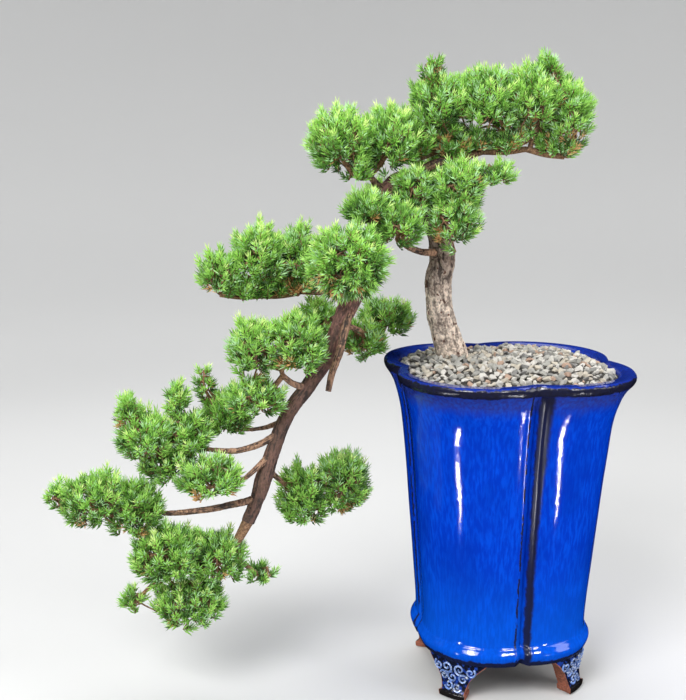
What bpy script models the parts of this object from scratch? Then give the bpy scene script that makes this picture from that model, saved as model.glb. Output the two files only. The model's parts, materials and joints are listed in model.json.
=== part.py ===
"""Cascade juniper bonsai in a glazed four-lobed pot: every sub-part is one closed solid.

Metres, +Z up, the front faces -Y and the cascade falls towards -X. All places below are
measured from the pot's axis at table level. When everything is built, an empty carries the
pieces so that the origin is the middle of the whole plant's box, at the table.
"""
import math

import bmesh
import bpy
from mathutils import Matrix, Vector, noise
from mathutils.bvhtree import BVHTree

GAP = 0.0003                    # clearance between two solids that touch on the real tree

# ---- pot ------------------------------------------------------------------------------
# (height, reach of a lobe from the axis, lobe circle radius as a share of that reach)
POT_OUTSIDE = (
    (0.0310, 0.0735, 0.74),     # edge of the underside
    (0.0345, 0.0752, 0.74),
    (0.0400, 0.0768, 0.74),     # rolled bead round the base
    (0.0450, 0.0742, 0.74),
    (0.0520, 0.0724, 0.74),     # waist, the narrowest place
    (0.0890, 0.0750, 0.74),
    (0.1380, 0.0795, 0.74),
    (0.1880, 0.0844, 0.73),
    (0.2200, 0.0884, 0.72),
    (0.2390, 0.0940, 0.69),
    (0.2480, 0.0988, 0.66),
    (0.2545, 0.1045, 0.62),     # under the rolled lip
    (0.2585, 0.1055, 0.61),
    (0.2610, 0.1040, 0.61),     # outer edge of the flat lip
)
POT_INSIDE = (
    (0.2610, 0.0958, 0.62),     # inner edge of the flat lip
    (0.2570, 0.0915, 0.68),
    (0.2390, 0.0858, 0.68),
    (0.1880, 0.0770, 0.68),
    (0.0890, 0.0678, 0.68),
    (0.0420, 0.0648, 0.68),     # floor
)
LOBE_STEPS = 10                 # facets along each lobe
GROOVE_WIDTH = 0.0055           # half width of the groove that runs down each notch
GROOVE_DEPTH = 0.0042
GROOVE_END = 0.2560             # the grooves run out here, under the lip
GROOVE_FADE = 0.0120            # and are full this far below
FOOT_HEIGHT = POT_OUTSIDE[0][0] - GAP
# (share of the foot's height, half width in degrees of the lobe, outset, wall)
FOOT_SECTIONS = (
    (0.00, 12.0, 0.0012, 0.0135),
    (0.13, 12.5, 0.0014, 0.0140),
    (0.16, 11.0, -0.0005, 0.0120),
    (0.40, 13.5, -0.0022, 0.0120),
    (0.64, 18.0, -0.0018, 0.0125),
    (0.84, 24.0, -0.0010, 0.0130),
    (1.00, 30.0, -0.0010, 0.0135),
)
FOOT_STEPS = 4
FOOT_BACK = 0.92                # the back of a foot is this much narrower than its front

# ---- soil -----------------------------------------------------------------------------
SOIL_EDGE = 0.2560              # height of the gravel where it meets the pot
SOIL_CROWN = 0.2645             # height of the gravel's low mound
SOIL_TOP_STEPS = (0.90, 0.76, 0.61, 0.46, 0.30, 0.14)
SOIL_LUMPS = 0.0011             # unevenness of the gravel
SOIL_LUMP_SPACING = 0.018
TRUNK_FOOT = 0.2620             # level of the trunk's flat cut
TRUNK_SEAT = 0.034              # the gravel is level this far round the trunk
SEAT_BLEND = 0.020              # and meets the mound over this further way
SOIL_RIM_SHARE = 0.80           # outside this share of the surface the level seat is only a limit

# ---- trunk and boughs: (x, y, z, radius) ----------------------------------------------
TRUNK_RISE = (
    (-0.038, 0.025, 0.262, 0.0116), (-0.044, 0.026, 0.281, 0.0112), (-0.049, 0.028, 0.303, 0.0106),
    (-0.050, 0.029, 0.325, 0.0104), (-0.047, 0.030, 0.342, 0.0102), (-0.049, 0.031, 0.360, 0.0099),
    (-0.057, 0.031, 0.379, 0.0093), (-0.067, 0.030, 0.396, 0.0088), (-0.080, 0.027, 0.4045, 0.0084),
)
TRUNK_FALL = (
    (-0.092, 0.021, 0.399, 0.0081), (-0.101, 0.015, 0.383, 0.0079), (-0.107, 0.009, 0.360, 0.0079),
    (-0.115, 0.003, 0.337, 0.0079), (-0.127, 0.000, 0.314, 0.0075), (-0.137, -0.002, 0.293, 0.0067),
    (-0.146, -0.004, 0.270, 0.0060), (-0.161, -0.006, 0.249, 0.0058), (-0.173, -0.008, 0.234, 0.0057),
    (-0.182, -0.009, 0.218, 0.0056), (-0.190, -0.010, 0.197, 0.0057), (-0.197, -0.010, 0.176, 0.0064),
    (-0.203, -0.010, 0.157, 0.0056), (-0.210, -0.011, 0.141, 0.0048),
)
TRUNK_SIDES = 10
RINGS_PER_KNOT = 2
FLARE_HEIGHT = 0.0075           # how fast the root flare dies away up the trunk
FLARE_SPREAD = 0.14             # the foot's extra radius, as a share
FLARE_LOBES = 5
FLARE_DEPTH = 0.45              # how much the flare's lobes stand out, as a share of it
FLARE_TURN = 0.7                # where the first lobe points, in radians
BARK_LUMPS = 0.07               # unevenness of the trunk, as a share of its radius
LUMPS_ROUND = 0.9               # how fast the unevenness changes round the trunk
LUMPS_ALONG = 60.0              # and along it, per metre

BOUGH_SIDES = 6
# name: (limb that carries it, radius at its root, radius at its tip, places along it)
BOUGHS = {
    "bough_crown_right": ("trunk_rise", 0.0044, 0.0027, (
        (-0.072, 0.029, 0.400), (-0.066, 0.029, 0.412), (-0.054, 0.029, 0.419), (-0.040, 0.029, 0.422))),
    "bough_crown_left": ("trunk_fall", 0.0036, 0.0022, (
        (-0.093, 0.020, 0.396), (-0.103, 0.017, 0.402), (-0.111, 0.013, 0.410))),
    "bough_crown_back": ("trunk_rise", 0.0034, 0.0022, (
        (-0.051, 0.031, 0.364), (-0.051, 0.047, 0.371), (-0.048, 0.060, 0.381))),
    "bough_low_left": ("trunk_rise", 0.0030, 0.0019, (
        (-0.048, 0.030, 0.347), (-0.068, 0.014, 0.350), (-0.083, -0.006, 0.356), (-0.093, -0.012, 0.363))),
    "bough_low_right": ("trunk_rise", 0.0030, 0.0020, (
        (-0.049, 0.031, 0.358), (-0.047, 0.016, 0.364), (-0.044, 0.007, 0.373))),
    "bough_high_left": ("trunk_fall", 0.0030, 0.0018, (
        (-0.119, 0.002, 0.329), (-0.134, 0.008, 0.321), (-0.151, 0.014, 0.319), (-0.166, 0.018, 0.319))),
    "bough_pompom": ("trunk_fall", 0.0030, 0.0020, (
        (-0.126, 0.000, 0.316), (-0.130, -0.014, 0.321), (-0.133, -0.025, 0.328))),
    "bough_behind": ("trunk_fall", 0.0027, 0.0017, (
        (-0.136, -0.002, 0.294), (-0.125, 0.018, 0.290), (-0.113, 0.036, 0.284))),
    "bough_inner_left": ("trunk_fall", 0.0024, 0.0015, (
        (-0.131, -0.001, 0.305), (-0.136, 0.014, 0.299), (-0.141, 0.022, 0.296))),
    "bough_mid_left": ("trunk_fall", 0.0030, 0.0019, (
        (-0.163, -0.006, 0.247), (-0.174, -0.013, 0.252), (-0.183, -0.018, 0.260))),
    "bough_low_sprigs": ("trunk_fall", 0.0023, 0.0014, (
        (-0.180, -0.009, 0.222), (-0.192, 0.003, 0.214), (-0.205, 0.014, 0.209))),
    "bough_outer_left": ("trunk_fall", 0.0030, 0.0018, (
        (-0.184, -0.009, 0.213), (-0.198, -0.012, 0.205), (-0.218, -0.010, 0.199), (-0.236, -0.006, 0.199))),
    "bough_under_left": ("trunk_fall", 0.0028, 0.0017, (
        (-0.190, -0.010, 0.196), (-0.201, -0.016, 0.188), (-0.212, -0.021, 0.180))),
    "bough_far_left": ("trunk_fall", 0.0031, 0.0017, (
        (-0.202, -0.010, 0.160), (-0.216, -0.012, 0.157), (-0.243, -0.010, 0.152), (-0.268, -0.006, 0.149),
        (-0.280, -0.005, 0.150))),
    "bough_right_low": ("trunk_fall", 0.0028, 0.0018, (
        (-0.194, -0.010, 0.184), (-0.188, 0.004, 0.174), (-0.181, 0.011, 0.166))),
    "dead_stub": ("trunk_fall", 0.0036, 0.0022, (
        (-0.128, -0.003, 0.307), (-0.134, -0.012, 0.291), (-0.138, -0.015, 0.276), (-0.144, -0.016, 0.260),
        (-0.147, -0.017, 0.246))),
}

# ---- foliage: each mass fills a few rounded pads --------------------------------------
# name: (limb whose tip carries it, pads of (x, y, z, half width, half depth, half height))
MASSES = {
    "foliage_crown_right": ("bough_crown_right", (
        (-0.051, 0.032, 0.459, 0.026, 0.030, 0.031), (-0.015, 0.030, 0.462, 0.031, 0.036, 0.035),
        (0.019, 0.024, 0.463, 0.026, 0.034, 0.034), (0.049, 0.020, 0.455, 0.022, 0.028, 0.032),
        (-0.059, 0.030, 0.491, 0.009, 0.009, 0.014), (0.033, 0.020, 0.491, 0.013, 0.012, 0.013))),
    "foliage_crown_left": ("bough_crown_left", (
        (-0.095, 0.020, 0.437, 0.024, 0.030, 0.028), (-0.134, 0.012, 0.435, 0.026, 0.030, 0.028),
        (-0.122, 0.008, 0.413, 0.013, 0.013, 0.010))),
    "foliage_crown_back": ("bough_crown_back", (
        (-0.042, 0.082, 0.398, 0.032, 0.026, 0.027), (-0.085, 0.074, 0.386, 0.024, 0.024, 0.021),
        (-0.030, 0.076, 0.430, 0.022, 0.018, 0.016))),
    "foliage_low_left": ("bough_low_left", (
        (-0.092, -0.014, 0.374, 0.020, 0.020, 0.018), (-0.117, -0.012, 0.387, 0.019, 0.022, 0.015))),
    "foliage_low_right": ("bough_low_right", (
        (-0.047, -0.006, 0.376, 0.022, 0.021, 0.023), (-0.030, 0.000, 0.404, 0.030, 0.026, 0.021))),
    "foliage_high_left": ("bough_high_left", (
        (-0.166, 0.024, 0.343, 0.018, 0.026, 0.028), (-0.197, 0.018, 0.344, 0.023, 0.030, 0.029),
        (-0.228, 0.012, 0.335, 0.018, 0.022, 0.017))),
    "foliage_pompom": ("bough_pompom", (
        (-0.135, -0.040, 0.349, 0.032, 0.030, 0.030),)),
    "foliage_behind": ("bough_behind", (
        (-0.106, 0.052, 0.273, 0.019, 0.024, 0.017), (-0.086, 0.066, 0.289, 0.024, 0.028, 0.018))),
    "foliage_inner_left": ("bough_inner_left", (
        (-0.148, 0.034, 0.294, 0.020, 0.022, 0.017),)),
    "foliage_mid_left": ("bough_mid_left", (
        (-0.173, -0.028, 0.285, 0.024, 0.026, 0.025), (-0.204, -0.020, 0.281, 0.021, 0.026, 0.024),
        (-0.203, -0.018, 0.242, 0.024, 0.022, 0.017))),
    "foliage_low_sprigs": ("bough_low_sprigs", (
        (-0.224, 0.022, 0.220, 0.021, 0.024, 0.022), (-0.241, 0.018, 0.248, 0.008, 0.009, 0.016))),
    "foliage_outer_left": ("bough_outer_left", (
        (-0.257, 0.000, 0.214, 0.021, 0.026, 0.022), (-0.287, -0.008, 0.220, 0.023, 0.028, 0.025),
        (-0.263, 0.000, 0.242, 0.010, 0.011, 0.011), (-0.272, -0.002, 0.190, 0.022, 0.024, 0.016))),
    "foliage_under_left": ("bough_under_left", (
        (-0.240, -0.024, 0.182, 0.028, 0.026, 0.018),)),
    "foliage_far_left": ("bough_far_left", (
        (-0.298, -0.002, 0.153, 0.024, 0.029, 0.024), (-0.327, -0.006, 0.162, 0.029, 0.028, 0.023),
        (-0.356, -0.006, 0.166, 0.009, 0.010, 0.009))),
    "foliage_right_low": ("bough_right_low", (
        (-0.163, 0.018, 0.150, 0.022, 0.025, 0.026), (-0.130, 0.022, 0.159, 0.025, 0.027, 0.028))),
    "foliage_tip": ("trunk_fall", (
        (-0.236, -0.010, 0.112, 0.025, 0.027, 0.024), (-0.273, -0.014, 0.118, 0.030, 0.029, 0.027),
        (-0.257, -0.014, 0.078, 0.030, 0.026, 0.021), (-0.200, -0.008, 0.097, 0.014, 0.013, 0.008),
        (-0.301, -0.010, 0.081, 0.011, 0.012, 0.009))),
}
HEART_DROP = 0.35               # stems run this far below the middle of a pad
STEM_SIDES = 4
STEM_BASE = 0.0011              # radius of a stem in the smallest pad
STEM_PER_WIDTH = 0.045          # what a pad's half width adds to it
THIN_STEM = 0.0018              # thinner stems have fewer rings
STEM_TIP = 0.8                  # its radius at its end, as a share of that
STEM_LEAD = 0.4                 # it keeps its carrier's direction for this share of its way
STEM_SAG = 0.06                 # how far a branch to a further pad hangs, as a share of its run
STEM_LEAVES = 0.75              # no twig leaves the last run of a stem further along than this
TWIG_RADIUS = 0.0008            # its root lies on the middle of the stem, well sunk in
SPRAY_LENGTH = 0.019            # at most
SPRAY_SHARE = 0.66              # of the way from the wood to the tip
SPRAY_SIDES = 3
SPRAY_WIDTH = 0.22              # the slim core's radius, as a share of its length
SPRAY_WAIST = 0.45              # where along the spray its core is widest
NEEDLE_LENGTH = 0.0075
LOWER_WHORL = 0.4               # from a core's widest place back towards its foot
UPPER_WHORL = 0.35              # and on towards its tip
LOWER_LEAN = 0.9                # how far the needles lean forward: 0 stands straight out
UPPER_LEAN = 1.3
SPRAYS_PER_AREA = 810.0         # sprays on a square metre of pad
SPRAY_SPACING = 0.012           # between the cores of two sprays
LEAST_SPRAYS = 3                # on each pad
CROWDING_PLACES = (0.3, 0.65, 1.0)
LIFT = 0.30                     # how strongly sprays turn upwards
BURIED = 0.90                   # a tip this far inside another pad of its own mass is left out
FURTHEST = 1.12                 # how far needles stand out of their own pads
OWN_MARGIN = 0.07               # a mass keeps this share of a pad away from its neighbours
LIMB_CLEARANCE = 0.0012
POT_CLEARANCE = 0.0030
CUT_CLEAR = 0.9 * GAP           # a little less than the gap in which a stem starts
FAR_OFF = 5.0                   # what is further from every pad than this can't be met, in pad widths
MOST_TRIES = 150                # places tried on each pad
SPRAY_TURN = 2.4                # each spray is turned this far about its axis from the one before it
OTHER_TURN = 0.13               # sprays are turned by this when a mass has to be grown again
MOST_ATTEMPTS = 8
# a point set that is even on all sides however far it is carried: multiples of these, modulo 1
EVEN_STEPS = (0.7548776662, 0.5698402910)
EVEN_START = 40.0               # per metre of a pad's place, so that no two pads grow alike

SHARP_POT = 38.0                # edges that bend more than this, in degrees, are shaded sharp
SHARP_FOOT = 35.0
SHARP_BARK = 50.0

UP = Vector((0.0, 0.0, 1.0))


# ---- small helpers --------------------------------------------------------------------
def make_object(name, bm, material=None):
    mesh = bpy.data.meshes.new(name)
    bmesh.ops.recalc_face_normals(bm, faces=bm.faces)
    bm.to_mesh(mesh)
    bm.free()
    obj = bpy.data.objects.new(name, mesh)
    bpy.context.scene.collection.objects.link(obj)
    if material is not None:
        mesh.materials.append(material)
    return obj


def make_material(name, colour, roughness):
    material = bpy.data.materials.new(name)
    material.use_nodes = True
    shader = material.node_tree.nodes["Principled BSDF"]
    shader.inputs["Base Color"].default_value = (*colour, 1.0)
    shader.inputs["Roughness"].default_value = roughness
    shader.inputs["Metallic"].default_value = 0.0
    return material


def shade_smooth(obj, sharp_degrees):
    obj.data.shade_smooth()
    obj.data.set_sharp_from_angle(angle=math.radians(sharp_degrees))


def loft(rings):
    """A closed solid through rings of points, with a flat cap on the first and the last."""
    bm = bmesh.new()
    loops = [[bm.verts.new(point) for point in ring] for ring in rings]
    count = len(loops[0])
    for lower, upper in zip(loops, loops[1:]):
        for i in range(count):
            j = (i + 1) % count
            bm.faces.new((lower[i], lower[j], upper[j], upper[i]))
    bm.faces.new(loops[0][::-1])
    bm.faces.new(loops[-1])
    return bm


def evaluated_mesh(obj):
    graph = bpy.context.evaluated_depsgraph_get()
    return bpy.data.meshes.new_from_object(obj.evaluated_get(graph))


def boolean(obj, operands, operation, solver):
    """Joins or cuts obj with all the operands at once, and removes them."""
    group = bpy.data.collections.new(obj.name + "_operands")
    for operand in operands:
        group.objects.link(operand)
        bpy.context.scene.collection.objects.unlink(operand)
    bpy.context.scene.collection.children.link(group)
    modifier = obj.modifiers.new(operation, "BOOLEAN")
    modifier.operation = operation
    modifier.operand_type = "COLLECTION"
    modifier.collection = group
    modifier.solver = solver
    mesh = evaluated_mesh(obj)
    obj.modifiers.remove(modifier)
    obj.data = mesh
    for operand in operands:
        bpy.data.objects.remove(operand)
    bpy.data.collections.remove(group)


def keep_outer_shell(obj):
    """Drops loose scraps and fills sealed hollows, so one closed body is left; False if it isn't."""
    bm = bmesh.new()
    bm.from_mesh(obj.data)
    bmesh.ops.dissolve_verts(bm, verts=[vert for vert in bm.verts if len(vert.link_edges) == 2])
    bmesh.ops.triangulate(bm, faces=bm.faces, quad_method="FIXED")
    unseen = set(bm.faces)
    shells = []
    while unseen:
        shell = {unseen.pop()}
        front = list(shell)
        while front:
            face = front.pop()
            for edge in face.edges:
                for other in edge.link_faces:
                    if other in unseen:
                        unseen.discard(other)
                        shell.add(other)
                        front.append(other)
        shells.append(shell)
    shells.sort(key=shell_volume)
    for shell in shells[:-1]:
        bmesh.ops.delete(bm, geom=list(shell), context="FACES")
    closed = all(len(edge.link_faces) == 2 for edge in bm.edges)
    bm.to_mesh(obj.data)
    bm.free()
    return closed


def shell_volume(shell):
    volume = 0.0
    for face in shell:
        a, b, c = (vert.co for vert in face.verts[:3])
        volume += a.dot(b.cross(c)) / 6.0
    return volume


# ---- pot, feet and soil ---------------------------------------------------------------
def quatrefoil(reach, share, inset=0.0, scale=1.0, groove=0.0):
    """Points round a four-lobed outline, from the notch at +X, with lobes on the diagonals."""
    lobe = reach * share - inset
    centre = reach * (1.0 - share) / math.sqrt(2.0)
    half = math.pi / 4 + math.asin(centre / lobe)
    arris = GROOVE_WIDTH / lobe
    facet = 2.0 * (half - arris) / (LOBE_STEPS - 2)
    points = []
    for quarter in range(4):
        turn = quarter * math.pi / 2
        for step in range(LOBE_STEPS):
            angle = math.pi / 4 - half + (arris + facet * (step - 1) if step else 0.0)
            x = (centre + lobe * math.cos(angle)) * scale
            y = (centre + lobe * math.sin(angle)) * scale
            if step == 0:
                x, y = (value * (1.0 - groove / math.hypot(x, y)) for value in (x, y))
            points.append((x * math.cos(turn) - y * math.sin(turn), x * math.sin(turn) + y * math.cos(turn)))
    return points


def groove_depth(z):
    return GROOVE_DEPTH * min(max((GROOVE_END - z) / GROOVE_FADE, 0.0), 1.0)


def make_pot(material):
    rings = [[(x, y, z) for x, y in quatrefoil(reach, share, groove=groove_depth(z))]
             for z, reach, share in POT_OUTSIDE]
    rings += [[(x, y, z) for x, y in quatrefoil(reach, share)] for z, reach, share in POT_INSIDE]
    pot = make_object("pot", loft(rings), material)
    shade_smooth(pot, SHARP_POT)


def make_feet(material):
    reach, share = POT_OUTSIDE[0][1:]
    centre = reach * (1.0 - share)
    rings = []
    for height, half_width, outset, wall in FOOT_SECTIONS:
        outer = reach * share + outset
        angles = [math.radians(half_width * (2.0 * i / FOOT_STEPS - 1.0)) for i in range(FOOT_STEPS + 1)]
        face = [(centre + outer * math.cos(a), outer * math.sin(a)) for a in angles]
        back = [(centre + (outer - wall) * math.cos(a), (outer - wall) * math.sin(a) * FOOT_BACK)
                for a in angles[::-2]]
        rings.append([(x, y, height * FOOT_HEIGHT) for x, y in face + back])
    for index in range(4):
        foot = make_object("foot_%d" % (index + 1), loft(rings), material)
        foot.rotation_euler.z = math.radians(45 + 90 * index)
        shade_smooth(foot, SHARP_FOOT)


def soil_height(x, y, share):
    """Height of the gravel: a low uneven mound that is level round the trunk's foot."""
    foot = Vector(TRUNK_RISE[0][:2])
    away = (Vector((x, y)) - foot).length
    mound = SOIL_EDGE + (SOIL_CROWN - SOIL_EDGE) * (1.0 - share ** 3)
    mound += SOIL_LUMPS * noise.noise(Vector((x, y, 0.0)) / SOIL_LUMP_SPACING)
    seat = TRUNK_FOOT - GAP
    blend = min(max((away - TRUNK_SEAT) / SEAT_BLEND, 0.0), 1.0)
    return seat + (mound - seat) * blend if share < SOIL_RIM_SHARE else min(mound, seat)


def make_soil(material):
    rings = []
    for z, reach, share in reversed(POT_INSIDE[2:]):
        rings.append([(x, y, z + (GAP if z == POT_INSIDE[-1][0] else 0.0))
                      for x, y in quatrefoil(reach, share, inset=GAP)])
    lower, upper = POT_INSIDE[2], POT_INSIDE[1]
    part = (SOIL_EDGE - lower[0]) / (upper[0] - lower[0])
    reach, share = (lower[i] + (upper[i] - lower[i]) * part for i in (1, 2))
    rings.append([(x, y, SOIL_EDGE) for x, y in quatrefoil(reach, share, inset=GAP)])
    for scale in SOIL_TOP_STEPS:
        rings.append([(x, y, soil_height(x, y, scale)) for x, y in quatrefoil(reach, share, GAP, scale)])
    make_object("soil", loft(rings), material)


# ---- limbs ----------------------------------------------------------------------------
def smooth_path(knots, per_knot):
    """Evenly shared samples of a Catmull-Rom curve through the knots (any number of values each)."""
    ends = [tuple(2.0 * a - b for a, b in zip(knots[0], knots[1]))]
    tail = [tuple(2.0 * a - b for a, b in zip(knots[-1], knots[-2]))]
    track = ends + list(knots) + tail
    samples = []
    for i in range(1, len(track) - 2):
        for step in range(per_knot):
            t = step / per_knot
            weights = ((-t + 2 * t * t - t ** 3) / 2, (2 - 5 * t * t + 3 * t ** 3) / 2,
                       (t + 4 * t * t - 3 * t ** 3) / 2, (t ** 3 - t * t) / 2)
            corner = track[i - 1:i + 3]
            samples.append(tuple(sum(w * k[axis] for w, k in zip(weights, corner))
                                 for axis in range(len(knots[0]))))
    samples.append(tuple(knots[-1]))
    return samples


class Limb:
    """A tapering limb: centres, radii and square-on frames along it."""

    def __init__(self, name, samples, sides):
        self.name = name
        self.sides = sides
        self.centres = [Vector(sample[:3]) for sample in samples]
        self.radii = [sample[3] for sample in samples]
        self.frames = []
        side = Vector((1.0, 0.0, 0.0))
        last = len(self.centres) - 1
        for i in range(last + 1):
            ahead = (self.centres[min(i + 1, last)] - self.centres[max(i - 1, 0)]).normalized()
            side = (side - ahead * side.dot(ahead)).normalized()
            self.frames.append((ahead, side, ahead.cross(side)))

    def ring(self, i, grow=0.0, shift=0.0, profile=None):
        ahead, side, across = self.frames[i]
        centre = self.centres[i] + ahead * shift
        points = []
        for k in range(self.sides):
            angle = 2.0 * math.pi * k / self.sides
            out = side * math.cos(angle) + across * math.sin(angle)
            radius = self.radii[i] * (profile(centre, angle) if profile else 1.0) + grow
            points.append(centre + out * radius)
        return points

    def solid(self, grow=0.0, profile=None):
        last = len(self.centres) - 1
        shifts = [-grow] + [0.0] * (last - 1) + [grow]
        return loft([self.ring(i, grow, shifts[i], profile) for i in range(last + 1)])

    def near(self, point):
        """Distance from a point to the limb's bark."""
        best = math.inf
        for a, b, ra, rb in zip(self.centres, self.centres[1:], self.radii, self.radii[1:]):
            along = b - a
            t = min(max((point - a).dot(along) / along.length_squared, 0.0), 1.0)
            best = min(best, (point - a - along * t).length - (ra + (rb - ra) * t))
        return best


def trunk_profile(centre, angle):
    """Root flare at the foot, and lumps all the way up."""
    rise = max(centre.z - TRUNK_FOOT, 0.0) if centre.x > TRUNK_FALL[0][0] else 1.0
    lobe = 1.0 + FLARE_DEPTH * math.cos(FLARE_LOBES * angle + FLARE_TURN)
    flare = FLARE_SPREAD * math.exp(-rise / FLARE_HEIGHT) * lobe
    spot = Vector((math.cos(angle), math.sin(angle), 0.0)) * LUMPS_ROUND + centre * LUMPS_ALONG
    return 1.0 + flare + BARK_LUMPS * noise.noise(spot)


def make_trunk(old_bark, young_bark):
    """Both trunk pieces; they part on one plane at the top of the bend."""
    samples = smooth_path(TRUNK_RISE + TRUNK_FALL, RINGS_PER_KNOT)
    split = (len(TRUNK_RISE) - 1) * RINGS_PER_KNOT
    whole = Limb("trunk", samples, TRUNK_SIDES)
    whole.frames[0] = (UP, Vector((1.0, 0.0, 0.0)), Vector((0.0, 1.0, 0.0)))
    limbs = {}
    for name, first, last, material in (("trunk_rise", 0, split, old_bark),
                                        ("trunk_fall", split, len(samples) - 1, young_bark)):
        limb = Limb(name, samples[first:last + 1], TRUNK_SIDES)
        limb.frames = whole.frames[first:last + 1]
        shift = limb.frames[-1][0] * (-GAP / 2) if first == 0 else limb.frames[0][0] * (GAP / 2)
        limb.centres[-1 if first == 0 else 0] += shift
        trunk = make_object(name, limb.solid(profile=trunk_profile), material)
        shade_smooth(trunk, SHARP_BARK)
        limbs[name] = limb
    return limbs


def make_bough(name, carrier, root_radius, tip_radius, places, material):
    """One tapering limb whose root is cut to the bark that carries it, GAP clear."""
    last = len(places) - 1
    knots = [(*place, root_radius + (tip_radius - root_radius) * i / last) for i, place in enumerate(places)]
    limb = Limb(name, smooth_path(knots, RINGS_PER_KNOT), BOUGH_SIDES)
    bough = make_object(name, limb.solid(), material)
    cutter = make_object("cutter", carrier.solid(grow=GAP, profile=trunk_profile))
    boolean(bough, [cutter], "DIFFERENCE", "EXACT")
    keep_outer_shell(bough)
    shade_smooth(bough, SHARP_BARK)
    return limb


# ---- foliage --------------------------------------------------------------------------
def reach_in(point, pads):
    """How far out a point lies in the nearest of the pads: 1 on its surface."""
    return min(math.sqrt(((point.x - x) / a) ** 2 + ((point.y - y) / b) ** 2 + ((point.z - z) / c) ** 2)
               for x, y, z, a, b, c in pads)


def inside_pot(point):
    """True where a point would touch the pot's rim or wall."""
    below = point.z < POT_OUTSIDE[-1][0] + POT_CLEARANCE
    return below and math.hypot(point.x, point.y) < POT_OUTSIDE[-2][1] + POT_CLEARANCE


def nearest_on_run(point, run):
    start, end = run
    along = end - start
    part = min(max((point - start).dot(along) / along.length_squared, 0.0), 1.0)
    return start + along * part


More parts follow.
